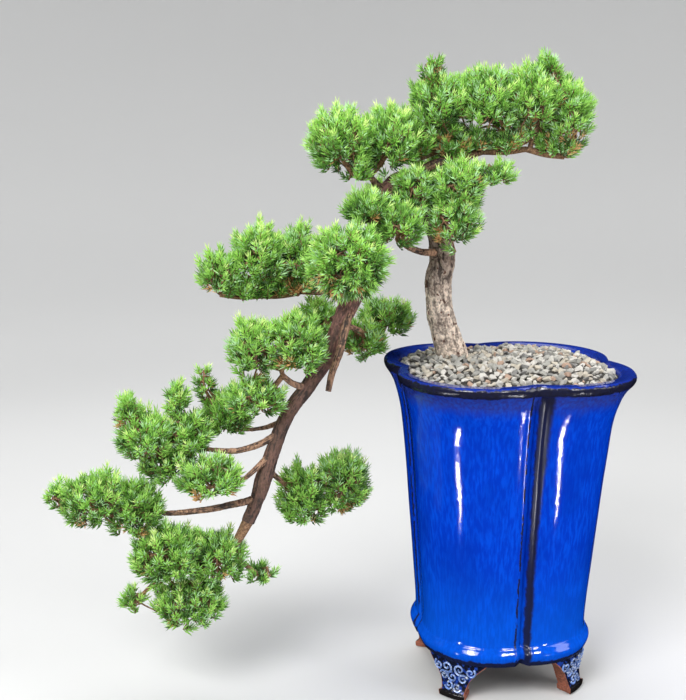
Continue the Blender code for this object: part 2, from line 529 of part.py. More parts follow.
class Mass:
    """Foliage that grows from one stem and keeps to its own space."""

    def __init__(self, name, carrier, pads, limbs):
        self.name = name
        self.pads = pads
        self.others = [pad for other, (_, rest) in MASSES.items() if other != name for pad in rest
                       if reach_in(Vector(pad[:3]), pads) < FAR_OFF]
        self.limbs = [limb for limb in limbs
                      if min(reach_in(centre, pads) for centre in limb.centres) < FAR_OFF]
        self.carrier = carrier
        self.wood = []              # the stem's straight runs, which twigs leave from
        self.sprays = []
        self.solids = []

    def is_free(self, point):
        """True where the mass may grow: its own space, off the limbs and the pot."""
        own = reach_in(point, self.pads)
        if own > FURTHEST or own + OWN_MARGIN > reach_in(point, self.others) or inside_pot(point):
            return False
        return all(limb.near(point) > LIMB_CLEARANCE for limb in self.limbs)

    def nearest_wood(self, point):
        """The place on the stem and its branches that lies nearest to a point."""
        return min((nearest_on_run(point, run) for run in self.wood),
                   key=lambda place: (place - point).length_squared)

    def is_crowded(self, foot, tip):
        """True where a spray's core would stand among the needles of another."""
        places = [foot.lerp(tip, part) for part in CROWDING_PLACES]
        return any((place - nearest_on_run(place, spray)).length < SPRAY_SPACING
                   for spray in self.sprays for place in places)

    def add_solid(self, bm):
        bmesh.ops.triangulate(bm, faces=bm.faces)
        self.solids.append(make_object("part_of_" + self.name, bm))

    def grow_stem(self):
        """The stem starts square on its carrier's tip, and a branch of it runs to each pad's heart."""
        ahead = self.carrier.frames[-1][0]
        start = self.carrier.centres[-1] + ahead * GAP
        hearts = [(Vector((x, y, z - HEART_DROP * c)), STEM_BASE + STEM_PER_WIDTH * a)
                  for x, y, z, a, b, c in self.pads]
        hearts.sort(key=lambda heart: (heart[0] - start).length)
        for index, (heart, radius) in enumerate(hearts):
            if index == 0:
                root, root_radius = start, self.carrier.radii[-1]
                bend = start + ahead * (heart - start).length * STEM_LEAD
            else:
                root, root_radius = self.nearest_wood(heart), radius
                bend = root.lerp(heart, 0.5) - UP * (heart - root).length * STEM_SAG
            middle = root.lerp(bend, 0.5).lerp(bend.lerp(heart, 0.5), 0.5)
            middle_radius = (root_radius + radius) / 2
            knots = [(*root, root_radius), (*middle, middle_radius), (*heart, radius * STEM_TIP)]
            limb = Limb(self.name, smooth_path(knots, 1 if radius < THIN_STEM else 2), STEM_SIDES)
            if index == 0:
                limb.frames[0] = self.carrier.frames[-1]
            self.add_solid(limb.solid())
            places = limb.centres[1:-1] + [limb.centres[-2].lerp(limb.centres[-1], STEM_LEAVES)]
            self.wood += list(zip(places, places[1:]))

    def targets(self, pad):
        """Spray tips on a pad's surface with the way out there, even on all sides."""
        x, y, z, a, b, c = pad
        for index in range(1, MOST_TRIES):
            height, turn = ((0.5 + x * EVEN_START + index * step) % 1.0 for step in EVEN_STEPS)
            level = 1.0 - 2.0 * height
            flat = math.sqrt(1.0 - level * level)
            way = Vector((flat * math.cos(2 * math.pi * turn), flat * math.sin(2 * math.pi * turn), level))
            tip = Vector((x + way.x * a, y + way.y * b, z + way.z * c))
            yield tip, Vector((way.x / a, way.y / b, way.z / c)).normalized()

    def grow_sprays(self, pad, turn):
        """Twigs from the nearest wood towards the pad's surface, each ending in a spray."""
        a, b, c = pad[3:]
        wanted = max(LEAST_SPRAYS, round(4.0 * math.pi / 3.0 * (a * b + b * c + c * a) * SPRAYS_PER_AREA))
        for tip, out in self.targets(pad):
            if wanted == 0:
                break
            if reach_in(tip, self.pads) < BURIED:
                continue
            wood = self.nearest_wood(tip)
            way = (out + UP * LIFT).normalized()
            length = min(SPRAY_LENGTH, (tip - wood).length * SPRAY_SHARE)
            foot = tip - way * length
            if self.is_crowded(foot, tip):
                continue
            bm, points = make_spray(wood, foot, tip, turn + SPRAY_TURN * wanted)
            if all(self.is_free(point) for point in points):
                self.add_solid(bm)
                self.sprays.append((foot, tip))
                wanted -= 1
            else:
                bm.free()

    def fuse(self, material):
        """Joins the mass into one body and clears it off the limbs; False if it isn't sound."""
        body, rest = self.solids[0], self.solids[1:]
        boolean(body, rest, "UNION", "MANIFOLD")
        sound = keep_outer_shell(body)
        tree = mesh_tree(body)
        cutters = []
        for limb in self.limbs:
            cutter = make_object("cutter", limb.solid(grow=CUT_CLEAR, profile=limb_profile(limb)))
            if tree.overlap(mesh_tree(cutter)):
                cutters.append(cutter)
            else:
                bpy.data.objects.remove(cutter)
        if cutters:
            boolean(body, cutters, "DIFFERENCE", "MANIFOLD")
            sound = keep_outer_shell(body) and sound
        if not sound:
            bpy.data.objects.remove(body)
            return False
        body.name = body.data.name = self.name
        body.data.materials.clear()
        body.data.materials.append(material)
        return True


def limb_profile(limb):
    return trunk_profile if limb.name.startswith("trunk") else None


def mesh_tree(obj):
    return BVHTree.FromPolygons([vert.co for vert in obj.data.vertices],
                                [tuple(face.vertices) for face in obj.data.polygons])


def corner_ring(centre, ahead, side, radius):
    """The corners of a twig's or slim core's cross-section, square on to the way ahead."""
    side = (side - ahead * side.dot(ahead)).normalized()
    across = ahead.cross(side)
    turns = [2.0 * math.pi * k / SPRAY_SIDES for k in range(SPRAY_SIDES)]
    return [centre + (side * math.cos(turn) + across * math.sin(turn)) * radius for turn in turns]


def make_spray(wood, foot, tip, turn):
    """A twig that swells into a slim core, with two whorls of needles on it and one at its tip."""
    ahead = (tip - foot).normalized()
    length = (tip - foot).length
    twig = (foot - wood).normalized() if (foot - wood).length > TWIG_RADIUS else ahead
    side = twig.orthogonal().normalized()
    side.rotate(Matrix.Rotation(turn, 3, twig))
    bend = (twig + ahead).normalized()
    bm = bmesh.new()
    root, neck, waist = ([bm.verts.new(point) for point in ring] for ring in (
        corner_ring(wood, twig, side, TWIG_RADIUS),
        corner_ring(foot, bend, side, TWIG_RADIUS),
        corner_ring(foot + ahead * length * SPRAY_WAIST, ahead, side, length * SPRAY_WIDTH)))
    point = bm.verts.new(tip)
    bm.faces.new(root[::-1])
    points = [tip]
    reach = NEEDLE_LENGTH * length / SPRAY_LENGTH
    for k in range(SPRAY_SIDES):
        j = (k + 1) % SPRAY_SIDES
        rim = (waist[k].co + waist[j].co) / 2
        out = (rim - foot - ahead * (rim - foot).dot(ahead)).normalized()
        lower = rim.lerp((neck[k].co + neck[j].co) / 2, LOWER_WHORL)
        upper = rim.lerp(tip, UPPER_WHORL)
        bm.faces.new((root[k], root[j], neck[j], neck[k]))
        for base, middle, lean in (((neck[k], neck[j], waist[j], waist[k]), lower, LOWER_LEAN),
                                   ((waist[k], waist[j], point), upper, UPPER_LEAN)):
            end = middle + (out + ahead * lean).normalized() * reach
            points.append(end)
            thorn = bm.verts.new(end)
            for a, b in zip(base, base[1:] + base[:1]):
                bm.faces.new((a, b, thorn))
    return bm, points


def make_mass(name, carrier, pads, limbs, turn, material):
    mass = Mass(name, limbs[carrier], pads, list(limbs.values()))
    mass.grow_stem()
    for pad in pads:
        mass.grow_sprays(pad, turn)
    return mass.fuse(material)


def make_foliage(limbs, material):
    """Every mass; one that doesn't join soundly is grown again with its sprays turned a little."""
    for name, (carrier, pads) in MASSES.items():
        turns = (OTHER_TURN * attempt for attempt in range(MOST_ATTEMPTS))
        if not any(make_mass(name, carrier, pads, limbs, turn, material) for turn in turns):
            raise RuntimeError(name + " can't be joined into one sound body")


# ---- the whole ------------------------------------------------------------------------
def set_origin():
    """Hangs every piece on one empty, so the origin is the middle of the whole's box, at its base."""
    bpy.context.view_layer.update()
    pieces = list(bpy.context.scene.collection.objects)
    corners = [piece.matrix_world @ vert.co for piece in pieces for vert in piece.data.vertices]
    low = Vector(min(corner[axis] for corner in corners) for axis in range(3))
    high = Vector(max(corner[axis] for corner in corners) for axis in range(3))
    middle = (low + high) / 2
    base = bpy.data.objects.new("bonsai", None)
    bpy.context.scene.collection.objects.link(base)
    base.location = (-middle.x, -middle.y, -low.z)
    for piece in pieces:
        piece.parent = base


def main():
    for obj in list(bpy.data.objects):
        bpy.data.objects.remove(obj)
    glaze = make_material("cobalt_glaze", (0.01, 0.07, 0.55), 0.12)
    foot_glaze = make_material("scrolled_glaze", (0.05, 0.10, 0.30), 0.25)
    gravel = make_material("grey_gravel", (0.42, 0.39, 0.35), 0.90)
    old_bark = make_material("grey_bark", (0.36, 0.28, 0.22), 0.90)
    young_bark = make_material("red_brown_bark", (0.20, 0.10, 0.07), 0.90)
    bough_bark = make_material("tan_bark", (0.30, 0.17, 0.10), 0.90)
    needles = make_material("juniper_green", (0.12, 0.30, 0.06), 0.60)
    make_pot(glaze)
    make_feet(foot_glaze)
    make_soil(gravel)
    limbs = make_trunk(old_bark, young_bark)
    for name, (carrier, root_radius, tip_radius, places) in BOUGHS.items():
        limbs[name] = make_bough(name, limbs[carrier], root_radius, tip_radius, places, bough_bark)
    make_foliage(limbs, needles)
    set_origin()


main()
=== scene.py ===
"""Cascade juniper bonsai in a glazed four-lobed pot, grown round the frame of its solids.

Metres, +Z up, the front faces -Y and the cascade falls towards -X. The tables of places are
measured from the pot's axis at table level, and every finished mesh is moved to that axis.
"""
import json
import math

import bmesh
import bpy
import numpy as np
from bpy.props import FloatProperty, FloatVectorProperty, IntProperty, PointerProperty
from mathutils import Matrix, Vector, noise

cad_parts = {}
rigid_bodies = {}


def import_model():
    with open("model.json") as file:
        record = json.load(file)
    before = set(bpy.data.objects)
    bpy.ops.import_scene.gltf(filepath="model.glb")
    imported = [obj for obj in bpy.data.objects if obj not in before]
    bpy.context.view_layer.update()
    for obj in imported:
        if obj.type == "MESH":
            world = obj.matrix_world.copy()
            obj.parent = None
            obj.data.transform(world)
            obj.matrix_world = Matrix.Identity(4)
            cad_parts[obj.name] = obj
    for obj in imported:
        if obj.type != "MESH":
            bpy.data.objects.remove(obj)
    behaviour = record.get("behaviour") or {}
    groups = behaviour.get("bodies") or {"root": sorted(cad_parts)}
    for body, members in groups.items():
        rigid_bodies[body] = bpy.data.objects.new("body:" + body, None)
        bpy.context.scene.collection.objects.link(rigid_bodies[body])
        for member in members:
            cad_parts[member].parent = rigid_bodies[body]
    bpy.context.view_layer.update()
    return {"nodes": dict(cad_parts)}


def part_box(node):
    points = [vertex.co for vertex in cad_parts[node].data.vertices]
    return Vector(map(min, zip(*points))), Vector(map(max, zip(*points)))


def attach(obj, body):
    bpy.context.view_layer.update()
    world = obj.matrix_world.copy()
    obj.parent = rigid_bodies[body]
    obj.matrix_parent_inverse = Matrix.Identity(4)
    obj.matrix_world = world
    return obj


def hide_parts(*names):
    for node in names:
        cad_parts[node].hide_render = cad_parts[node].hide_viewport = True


bl_info = {
    "name": "Cascade Juniper Bonsai",
    "version": (1, 0, 0),
    "blender": (4, 5, 0),
    "location": "View3D > Sidebar > Bonsai",
    "description": "Builds a cascade juniper in its glazed pot",
    "category": "Add Mesh",
}

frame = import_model()
POT_LOW, POT_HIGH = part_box("pot")
AXIS = Vector(((POT_LOW.x + POT_HIGH.x) / 2, (POT_LOW.y + POT_HIGH.y) / 2, 0.0))
UP = Vector((0.0, 0.0, 1.0))

# ---- pot: (height, reach of a lobe from the axis, lobe circle radius as a share of it) ----
POT_OUTSIDE = (
    (0.0310, 0.0735, 0.74), (0.0345, 0.0752, 0.74), (0.0400, 0.0768, 0.74), (0.0450, 0.0742, 0.74),
    (0.0520, 0.0724, 0.74), (0.0890, 0.0750, 0.74), (0.1380, 0.0795, 0.74), (0.1880, 0.0844, 0.73),
    (0.2200, 0.0884, 0.72), (0.2390, 0.0940, 0.69), (0.2480, 0.0988, 0.66), (0.2545, 0.1045, 0.62),
    (0.2585, 0.1055, 0.61), (0.2610, 0.1040, 0.61),
)
POT_INSIDE = (
    (0.2610, 0.0958, 0.62), (0.2570, 0.0915, 0.68), (0.2390, 0.0858, 0.68), (0.1880, 0.0770, 0.68),
    (0.0890, 0.0678, 0.68), (0.0420, 0.0648, 0.68),
)
LOBE_STEPS = 44
GAP = 0.0003                    # clearance between two solids that touch on the real tree
GROOVE_TOP = 0.2560             # the grooves run out here, under the lip
FOOT_HEIGHT = 0.0307
# (share of the foot's height, half width in degrees of the lobe, outset, wall)
FOOT_SECTIONS = (
    (0.00, 12.0, 0.0012, 0.0135), (0.13, 12.5, 0.0014, 0.0140), (0.16, 11.0, -0.0005, 0.0120),
    (0.40, 13.5, -0.0022, 0.0120), (0.64, 18.0, -0.0018, 0.0125), (0.84, 24.0, -0.0010, 0.0130),
    (1.00, 30.0, -0.0010, 0.0135),
)
FOOT_BACK = 0.92

# ---- trunk and boughs: (x, y, z, radius) --------------------------------------------------
TRUNK_FOOT = 0.2620
TRUNK_RISE = (
    (-0.038, 0.025, 0.262, 0.0116), (-0.044, 0.026, 0.281, 0.0112), (-0.049, 0.028, 0.303, 0.0106),
    (-0.050, 0.029, 0.325, 0.0104), (-0.047, 0.030, 0.342, 0.0102), (-0.049, 0.031, 0.360, 0.0099),
    (-0.057, 0.031, 0.379, 0.0093), (-0.067, 0.030, 0.396, 0.0088), (-0.080, 0.027, 0.4045, 0.0084),
)
TRUNK_FALL = (
    (-0.092, 0.021, 0.399, 0.0081), (-0.101, 0.015, 0.383, 0.0079), (-0.107, 0.009, 0.360, 0.0079),
    (-0.115, 0.003, 0.337, 0.0079), (-0.127, 0.000, 0.314, 0.0075), (-0.137, -0.002, 0.293, 0.0067),
    (-0.146, -0.004, 0.270, 0.0060), (-0.161, -0.006, 0.249, 0.0058), (-0.173, -0.008, 0.234, 0.0057),
    (-0.182, -0.009, 0.218, 0.0056), (-0.190, -0.010, 0.197, 0.0057), (-0.197, -0.010, 0.176, 0.0064),
    (-0.203, -0.010, 0.157, 0.0056), (-0.210, -0.011, 0.141, 0.0048),
)
# name: (limb that carries it, radius at its root, radius at its tip, places along it)
BOUGHS = {
    "bough_crown_right": ("trunk_rise", 0.0044, 0.0027, (
        (-0.072, 0.029, 0.400), (-0.066, 0.029, 0.412), (-0.054, 0.029, 0.419), (-0.040, 0.029, 0.422))),
    "bough_crown_left": ("trunk_fall", 0.0036, 0.0022, (
        (-0.093, 0.020, 0.396), (-0.103, 0.017, 0.402), (-0.111, 0.013, 0.410))),
    "bough_crown_back": ("trunk_rise", 0.0034, 0.0022, (
        (-0.051, 0.031, 0.364), (-0.051, 0.047, 0.371), (-0.048, 0.060, 0.381))),
    "bough_low_left": ("trunk_rise", 0.0030, 0.0019, (
        (-0.048, 0.030, 0.347), (-0.068, 0.014, 0.350), (-0.083, -0.006, 0.356), (-0.093, -0.012, 0.363))),
    "bough_low_right": ("trunk_rise", 0.0030, 0.0020, (
        (-0.049, 0.031, 0.358), (-0.047, 0.016, 0.364), (-0.044, 0.007, 0.373))),
    "bough_high_left": ("trunk_fall", 0.0030, 0.0018, (
        (-0.119, 0.002, 0.329), (-0.134, 0.008, 0.321), (-0.151, 0.014, 0.319), (-0.166, 0.018, 0.319))),
    "bough_pompom": ("trunk_fall", 0.0030, 0.0020, (
        (-0.126, 0.000, 0.316), (-0.130, -0.014, 0.321), (-0.133, -0.025, 0.328))),
    "bough_behind": ("trunk_fall", 0.0027, 0.0017, (
        (-0.136, -0.002, 0.294), (-0.125, 0.018, 0.290), (-0.113, 0.036, 0.284))),
    "bough_inner_left": ("trunk_fall", 0.0024, 0.0015, (
        (-0.131, -0.001, 0.305), (-0.136, 0.014, 0.299), (-0.141, 0.022, 0.296))),
    "bough_mid_left": ("trunk_fall", 0.0030, 0.0019, (
        (-0.163, -0.006, 0.247), (-0.174, -0.013, 0.252), (-0.183, -0.018, 0.260))),
    "bough_low_sprigs": ("trunk_fall", 0.0023, 0.0014, (
        (-0.180, -0.009, 0.222), (-0.192, 0.003, 0.214), (-0.205, 0.014, 0.209))),
    "bough_outer_left": ("trunk_fall", 0.0030, 0.0018, (
        (-0.184, -0.009, 0.213), (-0.198, -0.012, 0.205), (-0.218, -0.010, 0.199), (-0.236, -0.006, 0.199))),
    "bough_under_left": ("trunk_fall", 0.0028, 0.0017, (
        (-0.190, -0.010, 0.196), (-0.201, -0.016, 0.188), (-0.212, -0.021, 0.180))),
    "bough_far_left": ("trunk_fall", 0.0031, 0.0017, (
        (-0.202, -0.010, 0.160), (-0.216, -0.012, 0.157), (-0.243, -0.010, 0.152), (-0.268, -0.006, 0.149),
        (-0.280, -0.005, 0.150))),
    "bough_right_low": ("trunk_fall", 0.0028, 0.0018, (
        (-0.194, -0.010, 0.184), (-0.188, 0.004, 0.174), (-0.181, 0.011, 0.166))),
    "dead_stub": ("trunk_fall", 0.0036, 0.0022, (
        (-0.128, -0.003, 0.307), (-0.134, -0.012, 0.291), (-0.138, -0.015, 0.276), (-0.144, -0.016, 0.260),
        (-0.147, -0.017, 0.246))),
}

# ---- foliage: each mass fills a few rounded pads ------------------------------------------
# name: (limb whose tip carries it, pads of (x, y, z, half width, half depth, half height))
MASSES = {
    "foliage_crown_right": ("bough_crown_right", (
        (-0.051, 0.032, 0.459, 0.026, 0.030, 0.031), (-0.015, 0.030, 0.462, 0.031, 0.036, 0.035),
        (0.019, 0.024, 0.463, 0.026, 0.034, 0.034), (0.049, 0.020, 0.455, 0.022, 0.028, 0.032),
        (-0.059, 0.030, 0.491, 0.009, 0.009, 0.014), (0.033, 0.020, 0.491, 0.013, 0.012, 0.013),
        (-0.074, 0.032, 0.441, 0.015, 0.020, 0.021))),
    "foliage_crown_left": ("bough_crown_left", (
        (-0.095, 0.020, 0.437, 0.024, 0.030, 0.028), (-0.134, 0.012, 0.435, 0.026, 0.030, 0.028),
        (-0.122, 0.008, 0.413, 0.013, 0.013, 0.010))),
    "foliage_crown_back": ("bough_crown_back", (
        (-0.042, 0.082, 0.398, 0.032, 0.026, 0.027), (-0.085, 0.074, 0.386, 0.024, 0.024, 0.021),
        (-0.030, 0.076, 0.430, 0.022, 0.018, 0.016))),
    "foliage_low_left": ("bough_low_left", (
        (-0.092, -0.014, 0.374, 0.020, 0.020, 0.018), (-0.117, -0.012, 0.387, 0.019, 0.022, 0.015),
        (-0.077, 0.002, 0.398, 0.018, 0.015, 0.019))),
    "foliage_low_right": ("bough_low_right", (
        (-0.047, -0.006, 0.376, 0.021, 0.021, 0.023), (-0.043, 0.000, 0.402, 0.022, 0.024, 0.021),
        (-0.015, 0.002, 0.412, 0.018, 0.017, 0.012))),
    "foliage_high_left": ("bough_high_left", (
        (-0.166, 0.024, 0.343, 0.018, 0.026, 0.028), (-0.197, 0.018, 0.344, 0.023, 0.030, 0.029),
        (-0.228, 0.012, 0.335, 0.018, 0.022, 0.017))),
    "foliage_pompom": ("bough_pompom", (
        (-0.135, -0.040, 0.349, 0.032, 0.030, 0.030),)),
    "foliage_behind": ("bough_behind", (
        (-0.106, 0.052, 0.273, 0.019, 0.024, 0.017), (-0.086, 0.066, 0.289, 0.024, 0.028, 0.018))),
    "foliage_inner_left": ("bough_inner_left", (
        (-0.148, 0.034, 0.294, 0.020, 0.022, 0.017),)),
    "foliage_mid_left": ("bough_mid_left", (
        (-0.173, -0.028, 0.285, 0.024, 0.026, 0.025), (-0.204, -0.020, 0.281, 0.021, 0.026, 0.024),
        (-0.203, -0.018, 0.242, 0.024, 0.022, 0.017))),
    "foliage_low_sprigs": ("bough_low_sprigs", (
        (-0.224, 0.022, 0.220, 0.021, 0.024, 0.022), (-0.241, 0.018, 0.248, 0.008, 0.009, 0.016))),
    "foliage_outer_left": ("bough_outer_left", (
        (-0.257, 0.000, 0.212, 0.021, 0.026, 0.020), (-0.288, -0.008, 0.213, 0.023, 0.028, 0.019),
        (-0.263, 0.000, 0.240, 0.010, 0.011, 0.014), (-0.272, -0.002, 0.190, 0.022, 0.024, 0.016),
        (-0.300, -0.009, 0.233, 0.011, 0.013, 0.014))),
    "foliage_under_left": ("bough_under_left", (
        (-0.240, -0.024, 0.182, 0.028, 0.026, 0.018),)),
    "foliage_far_left": ("bough_far_left", (
        (-0.298, -0.002, 0.153, 0.024, 0.029, 0.024), (-0.327, -0.006, 0.162, 0.029, 0.028, 0.023),
        (-0.356, -0.006, 0.166, 0.009, 0.010, 0.009))),
    "foliage_right_low": ("bough_right_low", (
        (-0.163, 0.018, 0.150, 0.022, 0.025, 0.026), (-0.130, 0.022, 0.159, 0.025, 0.027, 0.028))),
    "foliage_tip": ("trunk_fall", (
        (-0.236, -0.010, 0.112, 0.025, 0.027, 0.024), (-0.273, -0.014, 0.118, 0.030, 0.029, 0.027),
        (-0.257, -0.014, 0.078, 0.030, 0.026, 0.021), (-0.200, -0.008, 0.097, 0.014, 0.013, 0.008),
        (-0.301, -0.010, 0.081, 0.011, 0.012, 0.009))),
}
HEART_DROP = 0.35               # how far a pad's heart lies under its middle, in half heights
STEM_BASE = 0.0011
STEM_PER_WIDTH = 0.045          # added to the stem's radius for each metre of half width
STEM_TIP = 0.8
STEM_LEAD = 0.4
STEM_SAG = 0.06
BURIED = 0.90                   # a tip deeper in another pad than this share of its own reach is left out
FURTHEST = 1.18                 # how far shoots may stand out, in reaches of a pad
FURTHEST_LEADER = 1.30          # and those that lead on top
# a point set that is even on all sides however far it is carried: multiples of these, modulo 1
EVEN_STEPS = (0.7548776662, 0.5698402910)
EVEN_START = 40.0

# needle tones: (name, colour), and how each spray deals them out
TONES = (
    ("straw", (0.66, 0.38, 0.15)),
    ("shade_green", (0.050, 0.140, 0.022)),
    ("deep_green", (0.145, 0.345, 0.050)),
    ("leaf_green", (0.280, 0.570, 0.090)),
    ("bright_green", (0.440, 0.780, 0.150)),
    ("fresh_green", (0.720, 0.920, 0.300)),
    ("silver_green", (0.500, 0.800, 0.400)),
)
STONE_TONES = (
    ("grey_stone", (0.36, 0.35, 0.32)), ("pale_stone", (0.56, 0.535, 0.49)),
    ("dark_stone", (0.20, 0.195, 0.185)), ("sand_stone", (0.50, 0.45, 0.37)),
    ("rose_stone", (0.40, 0.27, 0.20)),
)
STONE_MIX = (0, 1, 2, 0, 3, 1, 0, 2, 0, 1, 3, 1, 0, 3, 4)


# ---- what a user would change -------------------------------------------------------------
def length(name, description, default):
    return FloatProperty(name=name, description=description, default=default, min=0.0, unit="LENGTH",
                         precision=5)


def colour(name, description, default):
    return FloatVectorProperty(name=name, description=description, default=default, size=3, min=0.0, max=1.0,
                               subtype="COLOR")


class BonsaiPotSettings(bpy.types.PropertyGroup):
    groove_width: length("Groove width", "Half the width of the groove between two lobes", 0.0055)
    groove_depth: length("Groove depth", "Depth of the groove between two lobes", 0.0042)
    glaze: colour("Glaze", "Colour of the cobalt glaze", (0.0012, 0.042, 0.58))
    # this colour is also the painted shade and painted dark reflection in the grooves
    black_glaze_and_shade: colour("Thin glaze", "Colour where the glaze is thin on an edge", (0.010, 0.009, 0.010))
    clay: colour("Clay", "Colour of the bare clay", (0.28, 0.085, 0.045))
    scroll: colour("Scroll", "Colour of the scrolls on the feet", (0.20, 0.34, 0.80))


class BonsaiGravelSettings(bpy.types.PropertyGroup):
    stone_size: length("Stone size", "Usual length of a stone", 0.0084)
    spacing: length("Spacing", "Least distance between two stones", 0.0045)
    seed: IntProperty(name="Seed", description="Scatters the stones another way", default=4)


class BonsaiBarkSettings(bpy.types.PropertyGroup):
    relief: FloatProperty(name="Relief", description="Depth of the fissures, as a share of the limb's radius",
                          default=0.10, min=0.0, max=0.3, subtype="FACTOR")
    ridge: colour("Ridges", "Colour of the old trunk's ridges", (0.71, 0.585, 0.485))
    # the fissures take this colour as painted shade, the deeper the darker
    fissure: colour("Fissures", "Colour at the bottom of the fissures", (0.045, 0.025, 0.018))
    young: colour("Young bark", "Colour of the falling trunk", (0.22, 0.100, 0.080))
    bough: colour("Boughs", "Colour of the boughs", (0.34, 0.19, 0.115))


class BonsaiFoliageSettings(bpy.types.PropertyGroup):
    needle_length: length("Needle length", "Length of a full-grown needle", 0.0075)
    needle_width: length("Needle width", "Width of a needle at its widest place", 0.0018)
    whorl_spacing: length("Whorl spacing", "Distance between two whorls on a shoot", 0.0019)
    shoot_length: length("Shoot length", "Length of a spray's main shoot", 0.0220)
    sprays: FloatProperty(name="Sprays", description="Sprays on a square metre of pad", default=11500.0,
                          min=0.0)
    filling: FloatProperty(name="Filling", description="Sprays inside a pad, as a share of those on it",
                           default=0.90, min=0.0, max=2.0, subtype="FACTOR")
    seed: IntProperty(name="Seed", description="Turns the needles another way", default=11)


class BonsaiStageSettings(bpy.types.PropertyGroup):
    floor: colour("Floor", "Colour of the floor", (0.63, 0.63, 0.625))
    key: FloatProperty(name="Key light", description="Strength of the main light", default=37.0, min=0.0,
                       unit="POWER")
    fill: FloatProperty(name="Fill light", description="Strength of the soft light from all sides",
                        default=0.48, min=0.0)


# ---- small helpers ------------------------------------------------------------------------
class Nodes:
    """Fills a node tree: add() makes a node, sets its settings and feeds its inputs."""

    def __init__(self, tree):
        self.tree = tree

    def add(self, kind, inputs=None, **settings):
        node = self.tree.nodes.new(kind)
        for name, value in settings.items():
            setattr(node, name, value)
        for key, value in (inputs or {}).items():
            self.feed(node.inputs[key], value)
        return node

    def feed(self, socket, value):
        if isinstance(value, bpy.types.NodeSocket):
            self.tree.links.new(value, socket)
        else:
            socket.default_value = value

    def maths(self, operation, *values):
        return self.add("ShaderNodeMath", dict(enumerate(values)), operation=operation).outputs[0]

    def times(self, first, second):
        return self.maths("MULTIPLY", first, second)

    def plus(self, first, second):
        return self.maths("ADD", first, second)

    def between(self, value, low, high, to_low=0.0, to_high=1.0):
        """A smooth step of a value from one bound to the other."""
        inputs = {0: value, 1: low, 2: high, 3: to_low, 4: to_high}
        return self.add("ShaderNodeMapRange", inputs, interpolation_type="SMOOTHSTEP").outputs[0]

    def mix(self, factor, first, second):
        """One colour over another."""
        inputs = {0: factor, 6: opaque(first), 7: opaque(second)}
        return self.add("ShaderNodeMix", inputs, data_type="RGBA").outputs[2]


def opaque(value):
    return value if isinstance(value, bpy.types.NodeSocket) else (*value, 1.0)


def new_material(name, roughness=0.8):
    """A material with its shader, and a Nodes to fill it."""
    material = bpy.data.materials.new(name)
    material.use_nodes = True
    shader = material.node_tree.nodes["Principled BSDF"]
    shader.inputs["Roughness"].default_value = roughness
    return material, shader, Nodes(material.node_tree)


def plain_material(name, tint, roughness):
    material, shader, _ = new_material(name, roughness)
    shader.inputs["Base Color"].default_value = opaque(tint)
    material.diffuse_color = opaque(tint)
    return material


def mottle_group():
    """A shader node group: cloudy or streaky patches, as a mask and as a height."""
    name = "Mottle"
    if name in bpy.data.node_groups:
        return bpy.data.node_groups[name]
    group = bpy.data.node_groups.new(name, "ShaderNodeTree")
    for label, kind, value in (("Scale", "NodeSocketFloat", 100.0), ("Along", "NodeSocketFloat", 1.0),
                               ("Detail", "NodeSocketFloat", 4.0), ("Low", "NodeSocketFloat", 0.4),
                               ("High", "NodeSocketFloat", 0.6)):
        group.interface.new_socket(name=label, in_out="INPUT", socket_type=kind).default_value = value
    for label in ("Mask", "Height"):
        group.interface.new_socket(name=label, in_out="OUTPUT", socket_type="NodeSocketFloat")
    nodes = Nodes(group)
    given = nodes.add("NodeGroupInput").outputs
    place = nodes.add("ShaderNodeTexCoord").outputs["Object"]
    stretch = nodes.add("ShaderNodeCombineXYZ", {0: 1.0, 1: 1.0, 2: given["Along"]}).outputs[0]
    scaled = nodes.add("ShaderNodeVectorMath", {0: place, 1: stretch}, operation="MULTIPLY").outputs[0]
    inputs = {"Vector": scaled, "Scale": given["Scale"], "Detail": given["Detail"]}
    cloud = nodes.add("ShaderNodeTexNoise", inputs)
    mask = nodes.between(cloud.outputs[0], given["Low"], given["High"])
    nodes.add("NodeGroupOutput", {"Mask": mask, "Height": cloud.outputs[0]})
    return group


def mottle(nodes, scale, along=1.0, detail=4.0, low=0.4, high=0.6):
    """The mask and the height of a mottle group placed in a material with its own values."""
    inputs = {"Scale": scale, "Along": along, "Detail": detail, "Low": low, "High": high}
    placed = nodes.tree.nodes.new("ShaderNodeGroup")
    placed.node_tree = mottle_group()
    for name, value in inputs.items():
        nodes.feed(placed.inputs[name], value)
    return placed.outputs["Mask"], placed.outputs["Height"]


def level(nodes):
    """The height above the table."""
    place = nodes.add("ShaderNodeTexCoord").outputs["Object"]
    return nodes.add("ShaderNodeSeparateXYZ", {0: place}).outputs[2]


def attribute(nodes, name):
    return nodes.add("ShaderNodeAttribute", attribute_name=name).outputs["Fac"]


def bump(nodes, height, strength, distance):
    inputs = {"Height": height, "Strength": strength, "Distance": distance}
    return nodes.add("ShaderNodeBump", inputs).outputs[0]


def new_object(name, mesh):
    obj = bpy.data.objects.new(name, mesh)
    bpy.context.scene.collection.objects.link(obj)
    return obj


def mesh_of(name, points, faces=(), edges=(), **values):
    """A mesh of points and faces or edges, with one number for each point under each name."""
    mesh = bpy.data.meshes.new(name)
    mesh.from_pydata([tuple(point) for point in points], [tuple(edge) for edge in edges],
                     [tuple(face) for face in faces])
    for label, numbers in values.items():
        stored = mesh.attributes.new(label, "FLOAT", "POINT")
        stored.data.foreach_set("value", np.asarray(numbers, np.float32))
    return mesh


